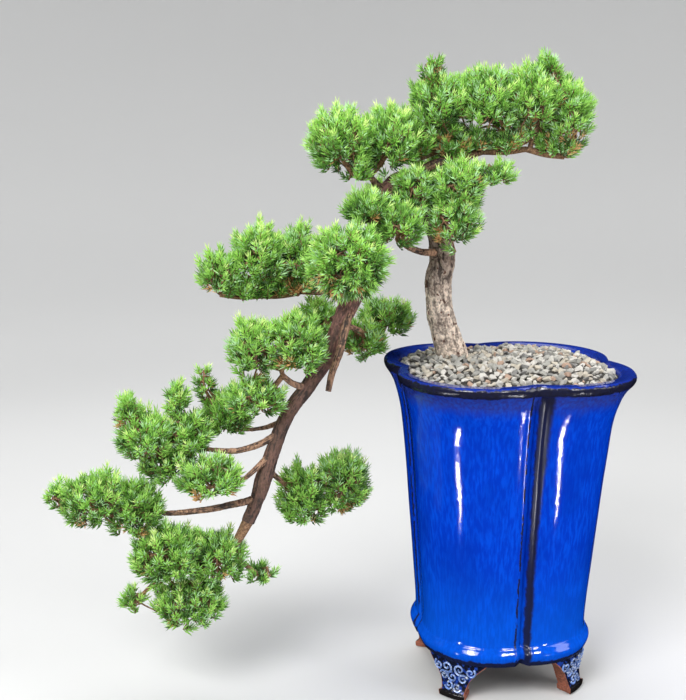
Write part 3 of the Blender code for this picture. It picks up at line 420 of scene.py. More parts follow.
def loft_faces(rings, count, first_cap=True, last_cap=True):
    """Faces of a closed solid through rings of points that each have the same count."""
    faces = []
    for ring in range(rings - 1):
        for i in range(count):
            j = (i + 1) % count
            low, high = ring * count, (ring + 1) * count
            faces.append((low + i, low + j, high + j, high + i))
    if first_cap:
        faces.append(tuple(range(count))[::-1])
    if last_cap:
        faces.append(tuple(range((rings - 1) * count, rings * count)))
    return faces


def outward(mesh):
    bm = bmesh.new()
    bm.from_mesh(mesh)
    bmesh.ops.recalc_face_normals(bm, faces=bm.faces)
    bm.to_mesh(mesh)
    bm.free()


def finish_piece(obj, slot, *nodes, smooth=None):
    """Shades a finished piece, hangs it on the frame and lets it stand for its nodes."""
    if not obj.data.polygons:
        raise RuntimeError(obj.name + " has no faces")
    if smooth is not None:
        obj.data.shade_smooth()
        obj.data.set_sharp_from_angle(angle=math.radians(smooth))
    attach(obj, "root")
    if nodes:
        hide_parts(*nodes)
    return obj


def smooth_path(knots, per_knot):
    """Evenly shared samples of a Catmull-Rom curve through the knots (any number of values each)."""
    knots = np.asarray(knots, float)
    track = np.vstack((2 * knots[0] - knots[1], knots, 2 * knots[-1] - knots[-2]))
    samples = []
    for i in range(1, len(track) - 2):
        before, start, end, after = track[i - 1:i + 3]
        for step in range(per_knot):
            t = step / per_knot
            samples.append(start + (end - before) * t / 2
                           + (before - 2.5 * start + 2 * end - after / 2) * t * t
                           + (3 * (start - end) + after - before) * t ** 3 / 2)
    samples.append(knots[-1])
    return np.array(samples)


# ---- geometry nodes -----------------------------------------------------------------------
class GrowthTree(Nodes):
    """A Geometry Nodes tree with named inputs, which turns a piece into a plain mesh."""

    def __init__(self, name, **inputs):
        super().__init__(bpy.data.node_groups.new(name, "GeometryNodeTree"))
        face = self.tree.interface
        face.new_socket(name="Geometry", in_out="INPUT", socket_type="NodeSocketGeometry")
        for label, kind in inputs.items():
            face.new_socket(name=label, in_out="INPUT", socket_type="NodeSocket" + kind)
        face.new_socket(name="Geometry", in_out="OUTPUT", socket_type="NodeSocketGeometry")
        self.given = self.add("NodeGroupInput").outputs

    def named(self, name):
        node = self.add("GeometryNodeInputNamedAttribute", {"Name": name}, data_type="FLOAT")
        return next(out for out in node.outputs if out.name == "Attribute" and out.enabled)

    def random(self, low, high, seed, number):
        """A random number from low to high; number keeps the draws apart."""
        inputs = {"Min": low, "Max": high}
        node = self.add("FunctionNodeRandomValue", data_type="FLOAT")
        for name, value in inputs.items():
            self.feed(next(s for s in node.inputs if s.name == name and s.enabled), value)
        self.feed(node.inputs["Seed"], self.plus(seed, float(number)))
        return next(out for out in node.outputs if out.enabled)

    def vector(self, x, y, z):
        return self.add("ShaderNodeCombineXYZ", {0: x, 1: y, 2: z}).outputs[0]

    def paint(self, geometry, materials, tone):
        """Sets each material on the faces whose tone is its number."""
        for number, material in enumerate(materials):
            chosen = self.add("FunctionNodeCompare", {0: tone, 1: float(number), "Epsilon": 0.5},
                              data_type="FLOAT", operation="EQUAL").outputs[0]
            inputs = {"Geometry": geometry, "Selection": chosen, "Material": material}
            geometry = self.add("GeometryNodeSetMaterial", inputs).outputs[0]
        return geometry

    def keep_tone(self, geometry, tone):
        """Stores the tone on each point."""
        kept = self.add("GeometryNodeStoreNamedAttribute", {"Geometry": geometry, "Name": "tone"},
                        data_type="FLOAT", domain="POINT")
        self.feed(next(s for s in kept.inputs if s.name == "Value" and s.enabled), tone)
        return kept.outputs[0]

    def end_painted(self, placed, materials):
        """Makes the instances real and gives each the material of its tone."""
        real = self.add("GeometryNodeRealizeInstances", {0: placed}).outputs[0]
        return self.end(self.paint(real, materials, self.named("tone")))

    def end(self, geometry):
        self.add("NodeGroupOutput", {0: geometry})
        return self.tree


def grow(obj, tree, **values):
    """Runs a tree on a piece and leaves the result as the piece's plain mesh."""
    modifier = obj.modifiers.new(tree.name, "NODES")
    modifier.node_group = tree
    sockets = {item.name: item.identifier for item in tree.interface.items_tree if item.in_out == "INPUT"}
    for name, value in values.items():
        modifier[sockets[name]] = value
    graph = bpy.context.evaluated_depsgraph_get()
    mesh = bpy.data.meshes.new_from_object(obj.evaluated_get(graph), preserve_all_data_layers=True,
                                           depsgraph=graph)
    obj.modifiers.remove(modifier)
    obj.data = mesh
    if not mesh.polygons:
        raise RuntimeError(tree.name + " made nothing of " + obj.name)
    return obj


def needle_tree(materials):
    """Whorls of needles at even steps along each shoot, closing towards its tip."""
    tree = GrowthTree("Needle Whorls", Whorl="Object", Spacing="Float", Seed="Int")
    given = tree.given
    curves = tree.add("GeometryNodeMeshToCurve", {"Mesh": given["Geometry"]}).outputs[0]
    steps = tree.add("GeometryNodeResampleCurve", {"Curve": curves, "Length": given["Spacing"]},
                     mode="LENGTH")
    along = tree.add("GeometryNodeSplineParameter").outputs["Factor"]
    number = tree.add("GeometryNodeInputIndex").outputs[0]
    tangent = tree.add("GeometryNodeInputTangent").outputs[0]
    aimed = tree.add("FunctionNodeAlignRotationToVector", {"Vector": tangent}, axis="Z").outputs[0]
    spin = tree.plus(tree.times(number, math.radians(47.0)),
                      tree.random(-0.35, 0.35, given["Seed"], 1))
    lean = tree.random(-0.16, 0.16, given["Seed"], 2)
    turned = tree.add("FunctionNodeRotateRotation", {0: aimed, 1: tree.vector(lean, lean, spin)},
                      rotation_space="LOCAL").outputs[0]
    size = tree.times(tree.named("size"), tree.random(0.82, 1.12, given["Seed"], 3))
    closing = tree.maths("POWER", along, 2.2)
    wide = tree.times(size, tree.between(closing, 0.0, 1.0, 1.08, 0.50))
    tall = tree.times(size, tree.between(closing, 0.0, 1.0, 0.86, 1.02))
    drawn = tree.random(0.0, 1.0, given["Seed"], 4)
    tone = tree.named("tone")
    young = tree.maths("GREATER_THAN", tree.plus(along, tree.times(drawn, 0.5)), 1.12)
    tone = tree.maths("MINIMUM", tree.plus(tone, young), 5.0)
    silver = tree.maths("GREATER_THAN", tree.random(0.0, 1.0, given["Seed"], 5), 0.86)
    tone = tree.plus(tone, tree.times(silver, tree.maths("SUBTRACT", 6.0, tone)))
    kept = tree.keep_tone(steps.outputs[0], tone)
    whorl = tree.add("GeometryNodeObjectInfo", {"Object": given["Whorl"]}).outputs["Geometry"]
    placed = tree.add("GeometryNodeInstanceOnPoints",
                      {"Points": kept, "Instance": whorl, "Rotation": turned,
                       "Scale": tree.vector(wide, wide, tall)}).outputs[0]
    return tree.end_painted(placed, materials)


def tube_tree(name, material, sides):
    """Tubes along the edges of a piece, as thick as its radius attribute says."""
    tree = GrowthTree(name, Thickness="Float")
    curves = tree.add("GeometryNodeMeshToCurve", {"Mesh": tree.given["Geometry"]}).outputs[0]
    radius = tree.times(tree.named("radius"), tree.given["Thickness"])
    thick = tree.add("GeometryNodeSetCurveRadius", {"Curve": curves, "Radius": radius}).outputs[0]
    ring = tree.add("GeometryNodeCurvePrimitiveCircle", {"Resolution": sides, "Radius": 1.0}).outputs[0]
    tubes = tree.add("GeometryNodeCurveToMesh", {"Curve": thick, "Profile Curve": ring, "Fill Caps": True})
    if "Scale" in tubes.inputs:
        tree.feed(tubes.inputs["Scale"], radius)
    real = tree.add("GeometryNodeRealizeInstances", {0: tubes.outputs[0]}).outputs[0]
    smooth = tree.add("GeometryNodeSetShadeSmooth", {0: real}).outputs[0]
    inputs = {"Geometry": smooth, "Material": material}
    return tree.end(tree.add("GeometryNodeSetMaterial", inputs).outputs[0])


def stone_tree(stones, materials):
    """Stones scattered on a surface, no two nearer than the spacing."""
    tree = GrowthTree("Gravel", Spacing="Float", Size="Float", Seed="Int")
    given = tree.given
    spots = tree.add("GeometryNodeDistributePointsOnFaces",
                     {"Mesh": given["Geometry"], "Distance Min": given["Spacing"], "Density Max": 400000.0,
                      "Seed": given["Seed"]}, distribute_method="POISSON")
    tone = tree.maths("FLOOR", tree.random(0.0, len(materials) - 0.01, given["Seed"], 6))
    kept = tree.keep_tone(spots.outputs["Points"], tone)
    shapes = tree.add("GeometryNodeCollectionInfo",
                      {"Collection": stones, "Separate Children": True, "Reset Children": True}).outputs[0]
    heaped = tree.vector(0.0, 0.0, tree.times(given["Size"], tree.random(-0.12, 0.22, given["Seed"], 11)))
    heap = tree.add("GeometryNodeSetPosition", {"Geometry": kept, "Offset": heaped}).outputs[0]
    size = tree.times(given["Size"], tree.random(0.62, 1.12, given["Seed"], 7))
    turn = tree.vector(tree.random(-0.8, 0.8, given["Seed"], 8), tree.random(-0.8, 0.8, given["Seed"], 9),
                       tree.random(0.0, math.tau, given["Seed"], 10))
    placed = tree.add("GeometryNodeInstanceOnPoints",
                      {"Points": heap, "Instance": shapes, "Pick Instance": True, "Rotation": turn,
                       "Scale": tree.vector(size, size, size)}).outputs[0]
    return tree.end_painted(placed, materials)


# ---- pot, feet and gravel -----------------------------------------------------------------
POT_ROWS = 6                    # samples from one row of the profile to the next
CROWDED_ENDS = 0.7              # how much closer points stand at a notch than on average
ARRIS_HEIGHT = 0.0007           # the raised edges of a groove
ARRIS_WIDTH = 0.0022
LIP_EDGE = 12                   # row of the outside profile at the lip's outer edge
WOBBLE = 0.00035                # unevenness of the thrown wall
FOOT_STEPS = 28
FOOT_ROWS = 5
SCROLL_RADIUS = 0.00080
SOIL_EDGE = 0.2560
SOIL_CROWN = 0.2645
TRUNK_SEAT = 0.034              # the gravel is level this far round the trunk
SEAT_BLEND = 0.020
SOIL_RIM_SHARE = 0.80           # outside this share of the surface the level seat is only a limit
BED_STEPS = (0.975, 0.92, 0.84, 0.72, 0.60, 0.45, 0.30, 0.15, 0.02)     # rings of the bed of stones
BED_LIFT = 0.0004               # the bed lies this far over the soil
BED_INSET = 0.0012              # and this far inside the wall
STONE_SHAPES = 8
STONE_POINTS = 14
SCROLL_TOP = 0.0012             # the scrolls end this far under the top of a foot


def smooth_step(value, low, high):
    part = min(max((value - low) / (high - low), 0.0), 1.0)
    return part * part * (3.0 - 2.0 * part)


def quatrefoil(reach, share, inset=0.0, scale=1.0):
    """Points round a four-lobed outline, each with its way along it to the nearest notch."""
    lobe = reach * share - inset
    centre = reach * (1.0 - share) / math.sqrt(2.0)
    half = math.pi / 4 + math.asin(centre / lobe)
    points = []
    for quarter in range(4):
        turn = quarter * math.pi / 2
        for step in range(LOBE_STEPS):
            part = step / LOBE_STEPS
            part -= CROWDED_ENDS * math.sin(math.tau * part) / math.tau
            angle = math.pi / 4 + half * (2.0 * part - 1.0)
            x = (centre + lobe * math.cos(angle)) * scale
            y = (centre + lobe * math.sin(angle)) * scale
            away = 2.0 * half * lobe * (part if part < 0.5 else part - 1.0)
            points.append((x * math.cos(turn) - y * math.sin(turn), x * math.sin(turn) + y * math.cos(turn),
                           away))
    return points


def wall_point(x, y, z, away, groove_width, groove_depth):
    """A point of the outside wall, cut into a groove at the notch with raised edges beside it."""
    fade = 1.0 - smooth_step(z, GROOVE_TOP - 0.012, GROOVE_TOP)
    cut = groove_depth * max(0.0, 1.0 - abs(away) / groove_width)
    ridge = ARRIS_HEIGHT * math.exp(-((abs(away) - groove_width) / ARRIS_WIDTH) ** 2)
    out = math.hypot(x, y)
    uneven = WOBBLE * noise.noise(Vector((x, y, z * 0.6)) * 45.0)
    grow = 1.0 + ((ridge - cut) * fade + uneven) / out
    return x * grow, y * grow, z


class BONSAI_OT_pot(bpy.types.Operator):
    """Build the four-lobed pot with its grooves and glaze"""
    bl_idname = "bonsai.pot"
    bl_label = "Pot"

    def execute(self, context):
        settings = context.scene.bonsai_pot
        outside = smooth_path(POT_OUTSIDE, POT_ROWS)
        inside = smooth_path(POT_INSIDE, POT_ROWS)
        edge_row = LIP_EDGE * POT_ROWS
        profile = np.vstack((outside, inside))
        steps = np.linalg.norm(np.diff(profile[:, :2], axis=0), axis=1)
        run = np.concatenate(([0.0], np.cumsum(steps)))
        points, notch, beside, edge = [], [], [], []
        for row, (z, reach, share) in enumerate(profile):
            for x, y, away in quatrefoil(reach, share):
                if row < len(outside):
                    x, y, z_here = wall_point(x, y, z, away, settings.groove_width, settings.groove_depth)
                points.append((x + AXIS.x, y + AXIS.y, z))
                notch.append(away / settings.groove_width)
                beside.append(abs(away) / settings.groove_width)
                edge.append((run[row] - run[edge_row]) * 1000.0)
        mesh = mesh_of("glazed_pot", points, loft_faces(len(profile), 4 * LOBE_STEPS), notch=notch,
                       beside=beside, edge=edge)
        outward(mesh)
        mesh.materials.append(glaze_material(settings))
        finish_piece(new_object("glazed_pot", mesh), "cobalt_glaze", "pot", smooth=50)
        return {"FINISHED"}


# where each soft edge in the glaze starts and ends: heights in metres over the table
LIGHT_BELOW = (0.13, 0.045)
DARK_UNDER_RIM = (0.240, 0.2540)
LIP_TOP = (0.2585, 0.2600)
BROAD_GROWS = (0.12, 0.25)
GROOVE_LINES_END = (0.2575, 0.2520)
# in millimetres: along the wall from the lip's edge, and over the table
LIP_BAND = ((-6.6, -5.2), (2.0, 1.0))
BOTTOM_BAND = (36.4, 34.8)
# in half widths of a groove from its middle
# the broad band is partly black glaze at the right arris, partly painted shade and painted dark reflection on
# the groove's right wall
BROAD_BAND = ((0.15, 0.50), (1.55, 1.00))
NARROW_BAND = ((-1.22, -1.10), (-0.78, -0.92))
BANDS_REACH = (3.0, 2.4)


def glaze_material(settings):
    """Cobalt glaze that breaks to black on edges and runs into streaks on the wall, with painted shade and a
    painted dark reflection down the right wall of each groove.
    """
    material, shader, nodes = new_material("cobalt_glaze", 0.07)
    shader.inputs["Specular IOR Level"].default_value = 0.40
    glaze = Vector(settings.glaze)
    height = level(nodes)
    streak, _ = mottle(nodes, 520.0, along=0.16, detail=3.0, low=0.38, high=0.66)
    patch, cloud = mottle(nodes, 40.0, along=0.6, detail=4.0, low=0.42, high=0.68)
    speck, grain = mottle(nodes, 420.0, along=0.8, detail=4.0, low=0.35, high=0.72)
    run, drift = mottle(nodes, 110.0, along=0.8, detail=3.0, low=0.35, high=0.70)
    tint = nodes.mix(streak, glaze * 0.80, glaze * 1.05 + Vector((0.0, 0.018, 0.0)))
    tint = nodes.mix(nodes.times(patch, 0.55), tint, glaze * 0.62)
    low_down = nodes.between(height, *LIGHT_BELOW)
    tint = nodes.mix(nodes.times(low_down, 0.30), tint, (0.004, 0.160, 0.80))
    under_rim = nodes.between(nodes.plus(height, nodes.times(drift, 0.012)), *DARK_UNDER_RIM)
    purple = nodes.mix(speck, (0.026, 0.032, 0.19), (0.018, 0.060, 0.40))
    tint = nodes.mix(nodes.times(under_rim, 0.85), tint, purple)
    lip_top = nodes.between(height, *LIP_TOP)
    tint = nodes.mix(nodes.times(lip_top, 0.45), tint, glaze * 0.35)
    wavy = nodes.plus(nodes.times(nodes.maths("SUBTRACT", grain, 0.5), 3.0),
                       nodes.times(nodes.maths("SUBTRACT", drift, 0.5), 5.0))
    edge = nodes.plus(attribute(nodes, "edge"), wavy)
    band = nodes.times(*(nodes.between(edge, *ends) for ends in LIP_BAND))
    notch = nodes.plus(attribute(nodes, "notch"), nodes.times(wavy, 0.11))
    # painted shade and painted dark reflection: a broad dark band down the right wall of each groove, wider
    # near the top, with the black glaze at its arris
    shrunk = nodes.maths("DIVIDE", notch, nodes.between(height, *BROAD_GROWS, 1.0, 1.7))
    broad = nodes.times(nodes.between(notch, *BROAD_BAND[0]), nodes.between(shrunk, *BROAD_BAND[1]))
    narrow = nodes.times(*(nodes.between(notch, *ends) for ends in NARROW_BAND))
    narrow = nodes.times(narrow, nodes.between(run, 0.0, 0.2))
    edges_black_and_shade = nodes.times(nodes.maths("MAXIMUM", broad, narrow), nodes.between(height, *GROOVE_LINES_END))
    edges_black_and_shade = nodes.times(edges_black_and_shade, nodes.between(attribute(nodes, "beside"), *BANDS_REACH))
    bottom = nodes.between(nodes.plus(nodes.times(height, 1000.0), wavy), *BOTTOM_BAND)
    dark = nodes.maths("MAXIMUM", nodes.maths("MAXIMUM", band, edges_black_and_shade), bottom)
    tint = nodes.mix(nodes.times(dark, 0.93), tint, tuple(settings.black_glaze_and_shade))
    nodes.feed(shader.inputs["Base Color"], tint)
    nodes.feed(shader.inputs["Roughness"], nodes.between(dark, 0.0, 1.0, 0.07, 0.22))
    rough = nodes.plus(cloud, nodes.times(grain, 0.12))
    rough = nodes.plus(rough, nodes.times(nodes.times(band, drift), 3.0))
    nodes.feed(shader.inputs["Normal"], bump(nodes, rough, 0.35, 0.0012))
    return material


def foot_face(angle, outer):
    centre = POT_OUTSIDE[0][1] * (1.0 - POT_OUTSIDE[0][2])
    return centre + outer * math.cos(angle), outer * math.sin(angle)


def turned_foot(index, x, y, z):
    turn = math.radians(45 + 90 * index)
    return (AXIS.x + x * math.cos(turn) - y * math.sin(turn),
            AXIS.y + x * math.sin(turn) + y * math.cos(turn), z)


# (place across, height, size, angle where it starts in degrees, way round)
SCROLLS = (
    (-3.6, 9.8, 3.6, 200, 1), (3.6, 9.2, 3.4, -20, -1), (-1.0, 17.0, 4.4, 90, 1),
    (-9.2, 16.4, 3.4, 160, -1), (8.4, 16.8, 4.0, 20, 1), (-5.8, 24.6, 4.6, 250, 1),
    (5.6, 24.8, 4.4, -70, -1), (-14.6, 23.6, 4.0, 130, 1), (14.8, 24.0, 4.0, 50, -1),
)
SCROLL_STEPS = 24
SCROLL_TURNS = 1.35


def scroll_lines():
    """Spirals, in millimetres from the middle of a foot's face: across it, and up from the ground."""
    lines = []
    for across, up, size, start, way in SCROLLS:
        line = []
        for step in range(SCROLL_STEPS + 1):
            part = step / SCROLL_STEPS
            angle = math.radians(start) + way * part * math.tau * SCROLL_TURNS
            reach = size * (1.0 - part) ** 0.8 + 0.35
            line.append((across + reach * math.cos(angle), up + reach * math.sin(angle)))
        lines.append(line)
    return lines


class BONSAI_OT_feet(bpy.types.Operator):
    """Build the four feet and the scrolls on their faces"""
    bl_idname = "bonsai.feet"
    bl_label = "Feet"

    def execute(self, context):
        settings = context.scene.bonsai_pot
        rows = smooth_path(FOOT_SECTIONS, FOOT_ROWS)
        around = 2 * (FOOT_STEPS + 1)
        lobe = POT_OUTSIDE[0][1] * POT_OUTSIDE[0][2]
        points, faces, clay = [], [], []
        for index in range(4):
            start = len(points)
            for height, half_width, outset, wall in rows:
                angles = [math.radians(half_width * (2.0 * i / FOOT_STEPS - 1.0))
                          for i in range(FOOT_STEPS + 1)]
                outer = lobe + outset
                ring = [foot_face(angle, outer) for angle in angles]
                back = [foot_face(angle, outer - wall) for angle in angles[::-1]]
                ring += [(x, y * FOOT_BACK) for x, y in back]
                points += [turned_foot(index, x, y, height * FOOT_HEIGHT) for x, y in ring]
                clay += [0.0 if 0 < i < FOOT_STEPS else 1.0 for i in range(FOOT_STEPS + 1)]
                clay += [1.0] * (FOOT_STEPS + 1)
            faces += [tuple(corner + start for corner in face) for face in loft_faces(len(rows), around)]
        mesh = mesh_of("pot_feet", points, faces, clay=clay)
        outward(mesh)
        mesh.materials.append(foot_material(settings))
        feet = finish_piece(new_object("pot_feet", mesh), "scrolled_glaze", smooth=40)
        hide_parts("foot_1", "foot_2", "foot_3", "foot_4")

        heights, outsets, widths = rows[:, 0] * FOOT_HEIGHT, rows[:, 2], rows[:, 1]
        points, edges, radii = [], [], []
        for index in range(4):
            for line in scroll_lines():
                for number, (across, up) in enumerate(line):
                    z = min(up / 1000.0, FOOT_HEIGHT - SCROLL_TOP)
                    outer = lobe + np.interp(z, heights, outsets)
                    limit = math.radians(np.interp(z, heights, widths)) - SCROLL_RADIUS / outer
                    angle = min(max(across / 1000.0 / outer, -limit), limit)
                    if number:
                        edges.append((len(points) - 1, len(points)))
                    points.append(turned_foot(index, *foot_face(angle, outer + SCROLL_RADIUS * 0.25), z))
                    radii.append(SCROLL_RADIUS * (1.2 - 0.4 * number / len(line)))
        scrolls = new_object("foot_scrolls", mesh_of("foot_scrolls", points, edges=edges, radius=radii))
        grow(scrolls, tube_tree("Scroll Relief", scroll_material(settings), 6), Thickness=1.0)
        finish_piece(scrolls, "scrolled_glaze", smooth=60)
        return {"FINISHED"}


def foot_material(settings):
    """Black and blue glaze on a foot's face, bare clay on its cut sides and underneath."""
    material, shader, nodes = new_material("scrolled_glaze", 0.16)
    height = level(nodes)
    spot, grain = mottle(nodes, 260.0, detail=3.0, low=0.50, high=0.64)
    tint = nodes.mix(spot, (0.006, 0.008, 0.022), (0.010, 0.045, 0.30))
    pad = nodes.between(height, 0.0052, 0.0044)
    tint = nodes.mix(pad, tint, (0.012, 0.010, 0.010))
    grit, rough = mottle(nodes, 500.0, detail=5.0, low=0.35, high=0.65)
    bare = nodes.mix(grit, Vector(settings.clay) * 0.65, Vector(settings.clay) * 1.2)
    clay = nodes.between(nodes.plus(attribute(nodes, "clay"), nodes.times(grain, 0.3)), 0.62, 0.72)
    nodes.feed(shader.inputs["Base Color"], nodes.mix(clay, tint, bare))
    nodes.feed(shader.inputs["Roughness"], nodes.between(clay, 0.0, 1.0, 0.16, 0.85))
    nodes.feed(shader.inputs["Normal"], bump(nodes, rough, 0.4, 0.0008))
    return material


def scroll_material(settings):
    material, shader, nodes = new_material("scroll_glaze", 0.14)
    spot, grain = mottle(nodes, 700.0, detail=2.0, low=0.52, high=0.64)
    shade, _ = mottle(nodes, 120.0, detail=3.0, low=0.35, high=0.65)
    light = Vector(settings.scroll)
    tint = nodes.mix(shade, light * 0.45, light)
    # painted highlight: near-white glints scattered over the scrolls
    nodes.feed(shader.inputs["Base Color"], nodes.mix(nodes.times(spot, 0.7), tint, (0.78, 0.84, 0.90)))
    nodes.feed(shader.inputs["Normal"], bump(nodes, grain, 0.3, 0.0006))
    return material


def soil_height(x, y, share):
    """Height of the gravel: a low mound that is level round the trunk's foot."""
    away = math.hypot(x - TRUNK_RISE[0][0], y - TRUNK_RISE[0][1])
    mound = SOIL_EDGE + (SOIL_CROWN - SOIL_EDGE) * (1.0 - share ** 3)
    blend = min(max((away - TRUNK_SEAT) / SEAT_BLEND, 0.0), 1.0)
    seat = TRUNK_FOOT - GAP
    return seat + (mound - seat) * blend if share < SOIL_RIM_SHARE else min(mound, seat)


def stone_shapes(count, seed):
    """A few faceted stones, each the hull of points on an uneven ball one unit long."""
    picked = np.random.default_rng(seed)
    collection = bpy.data.collections.new("stone_shapes")
    for number in range(count):
        ways = picked.normal(size=(STONE_POINTS, 3))
        ways /= np.linalg.norm(ways, axis=1)[:, None]
        sides = np.array((0.52, picked.uniform(0.34, 0.46), picked.uniform(0.24, 0.36)))
        bm = bmesh.new()
        for way in ways * sides * picked.uniform(0.84, 1.0, size=(STONE_POINTS, 1)):
            bm.verts.new(way)
        hull = bmesh.ops.convex_hull(bm, input=bm.verts)
        spare = hull["geom_interior"] + hull["geom_unused"]
        inside = {part for part in spare if isinstance(part, bmesh.types.BMVert)}
        bmesh.ops.delete(bm, geom=list(inside), context="VERTS")
        bmesh.ops.recalc_face_normals(bm, faces=bm.faces)
        mesh = bpy.data.meshes.new("stone_%d" % number)
        bm.to_mesh(mesh)
        bm.free()
        collection.objects.link(bpy.data.objects.new(mesh.name, mesh))
    return collection


class BONSAI_OT_gravel(bpy.types.Operator):
    """Scatter gravel over the soil in the pot"""
    bl_idname = "bonsai.gravel"
    bl_label = "Gravel"

    def execute(self, context):
        settings = context.scene.bonsai_gravel
        soil = frame["nodes"]["soil"]
        material, shader, nodes = new_material("grey_gravel", 0.95)
        grit, rough = mottle(nodes, 420.0, detail=5.0, low=0.35, high=0.65)
        # the soil between the stones is nearly black: dark earth, deepened into painted shade in the gaps
        nodes.feed(shader.inputs["Base Color"], nodes.mix(grit, (0.020, 0.017, 0.015), (0.075, 0.066, 0.056)))
        nodes.feed(shader.inputs["Normal"], bump(nodes, rough, 0.8, 0.0015))
        for place in soil.material_slots:
            place.material = material

        lower, upper = POT_INSIDE[2], POT_INSIDE[1]
        part = (SOIL_EDGE - lower[0]) / (upper[0] - lower[0])
        reach, share = (lower[i] + (upper[i] - lower[i]) * part for i in (1, 2))
        points = [(x + AXIS.x, y + AXIS.y, soil_height(x, y, scale) + BED_LIFT)
                  for scale in BED_STEPS for x, y, _ in quatrefoil(reach, share, BED_INSET, scale)]
        bed = mesh_of("gravel", points, loft_faces(len(BED_STEPS), 4 * LOBE_STEPS, first_cap=False))
        stones = new_object("gravel", bed)
        tones = [plain_material(name, tint, 0.85) for name, tint in STONE_TONES]
        materials = [tones[number] for number in STONE_MIX]
        shapes = stone_shapes(STONE_SHAPES, settings.seed)
        grow(stones, stone_tree(shapes, materials), Spacing=settings.spacing, Size=settings.stone_size,
             Seed=settings.seed)
        for shape in list(shapes.objects):
            bpy.data.objects.remove(shape)
        bpy.data.collections.remove(shapes)
        finish_piece(stones, "grey_gravel", smooth=18)
        return {"FINISHED"}


# ---- trunk and boughs ---------------------------------------------------------------------
TRUNK_SIDES = 104
TRUNK_ROWS = 30                 # rings from one knot to the next
BOUGH_SIDES = 28
BOUGH_ROWS = 20
BARK_SEED = 7                   # noise_vector takes its offsets from the clock if this isn't set
FLARE_HEIGHT = 0.0075
FLARE_SPREAD = 0.14
FLARE_LOBES = 5
FLARE_DEPTH = 0.45
FLARE_TURN = 0.7
BARK_LUMPS = 0.10
LUMPS_ROUND = 0.9
LUMPS_ALONG = 60.0
FIBRES = 2.4
BARK_TWIST = 9.0                # how far the fibres turn round a limb, in radians on a metre
FIBRE_STRETCH = 34.0
PLATES_ROUND = 260.0
PLATES_ALONG = 170.0
CRACK_WIDTH = 0.16
USUAL_BARK = 0.72               # the bark's depth that lies at the limb's own radius
BOUGH_RELIEF = 2.2              # boughs are rougher for their size than the trunk


class Limb:
    """A tapering limb: centres, radii and square-on frames along it."""

    def __init__(self, samples):
        self.centres = samples[:, :3]
        self.radii = samples[:, 3]
        ahead = np.gradient(self.centres, axis=0)
        self.ahead = ahead / np.linalg.norm(ahead, axis=1)[:, None]
        self.side = np.empty_like(self.centres)
        side = np.array((1.0, 0.0, 0.0))
        for i, way in enumerate(self.ahead):
            side = side - way * side.dot(way)
            side /= np.linalg.norm(side)
            self.side[i] = side
        self.across = np.cross(self.ahead, self.side)
        self.run = np.concatenate(([0.0], np.cumsum(np.linalg.norm(np.diff(self.centres, axis=0), axis=1))))

    def near(self, points):
        """How far each point lies from the limb's bark."""
        reach = np.linalg.norm(points[:, None] - self.centres[None], axis=2) - self.radii[None]
        return reach.min(axis=1)


def trunk_flare(centre, angle):
    """Root flare at the foot, and lumps all the way up, as a share of the radius."""
    rise = max(centre[2] - TRUNK_FOOT, 0.0) if centre[0] > TRUNK_FALL[0][0] else 1.0
    lobe = 1.0 + FLARE_DEPTH * math.cos(FLARE_LOBES * angle + FLARE_TURN)
    flare = FLARE_SPREAD * math.exp(-rise / FLARE_HEIGHT) * lobe
    spot = Vector((math.cos(angle), math.sin(angle), 0.0)) * LUMPS_ROUND + Vector(centre) * LUMPS_ALONG
    return flare + BARK_LUMPS * noise.noise(spot)


def bark_depth(angle, run, radius, plates, seed):
    """Bark of stringy ridges or of flaking plates: 1 on the surface, 0 at the bottom of a crack."""
    turn = angle + run * BARK_TWIST
    round_it = Vector((math.cos(turn), math.sin(turn), 0.0))
    spot = round_it * FIBRES + Vector((0.0, 0.0, run * FIBRE_STRETCH + seed))
    bend = noise.noise(spot * 0.7) * 0.6
    string = max(0.0, 1.0 - abs(noise.noise(spot + Vector((bend, bend, 0.0)))) * 2.6) ** 2.2
    cell = round_it * (radius * PLATES_ROUND) + Vector((0.0, 0.0, run * PLATES_ALONG + seed))
    cell += noise.noise_vector(cell * 0.8) * 0.6
    near, far = noise.voronoi(cell)[0][:2]
    crack = max(0.0, 1.0 - (far - near) / CRACK_WIDTH)
    flake = noise.noise(cell * 2.3) + 0.5 * noise.noise(cell * 4.6)
    lump = noise.noise(cell * 0.75)
    fine = noise.noise(Vector((spot.x * 2.6, spot.y * 2.6, spot.z * 2.2)))
    flat = 1.0 + 0.16 * fine + plates * (0.60 * lump + 0.50 * flake)
    return flat - string * (0.85 - 0.45 * plates) - crack * 0.22 * plates


def bark_mesh(name, limb, sides, relief, plates, flare=None, seed=0.0):
    """A limb's bark as a closed mesh, with how deep each point lies in the fissures."""
    noise.seed_set(BARK_SEED)
    points, depth, along = [], [], []
    for i, centre in enumerate(limb.centres):
        radius = limb.radii[i]
        for k in range(sides):
            angle = math.tau * k / sides
            out = limb.side[i] * math.cos(angle) + limb.across[i] * math.sin(angle)
            ridge = bark_depth(angle, limb.run[i], radius, plates, seed)
            share = 1.0 + relief * (ridge - USUAL_BARK) + (flare(centre, angle) if flare else 0.0)
            points.append(centre + out * radius * share + np.array(AXIS))
            depth.append(ridge)
            along.append(limb.run[i])
    mesh = mesh_of(name, points, loft_faces(len(limb.centres), sides), ridge=depth, along=along)
    outward(mesh)
    return mesh


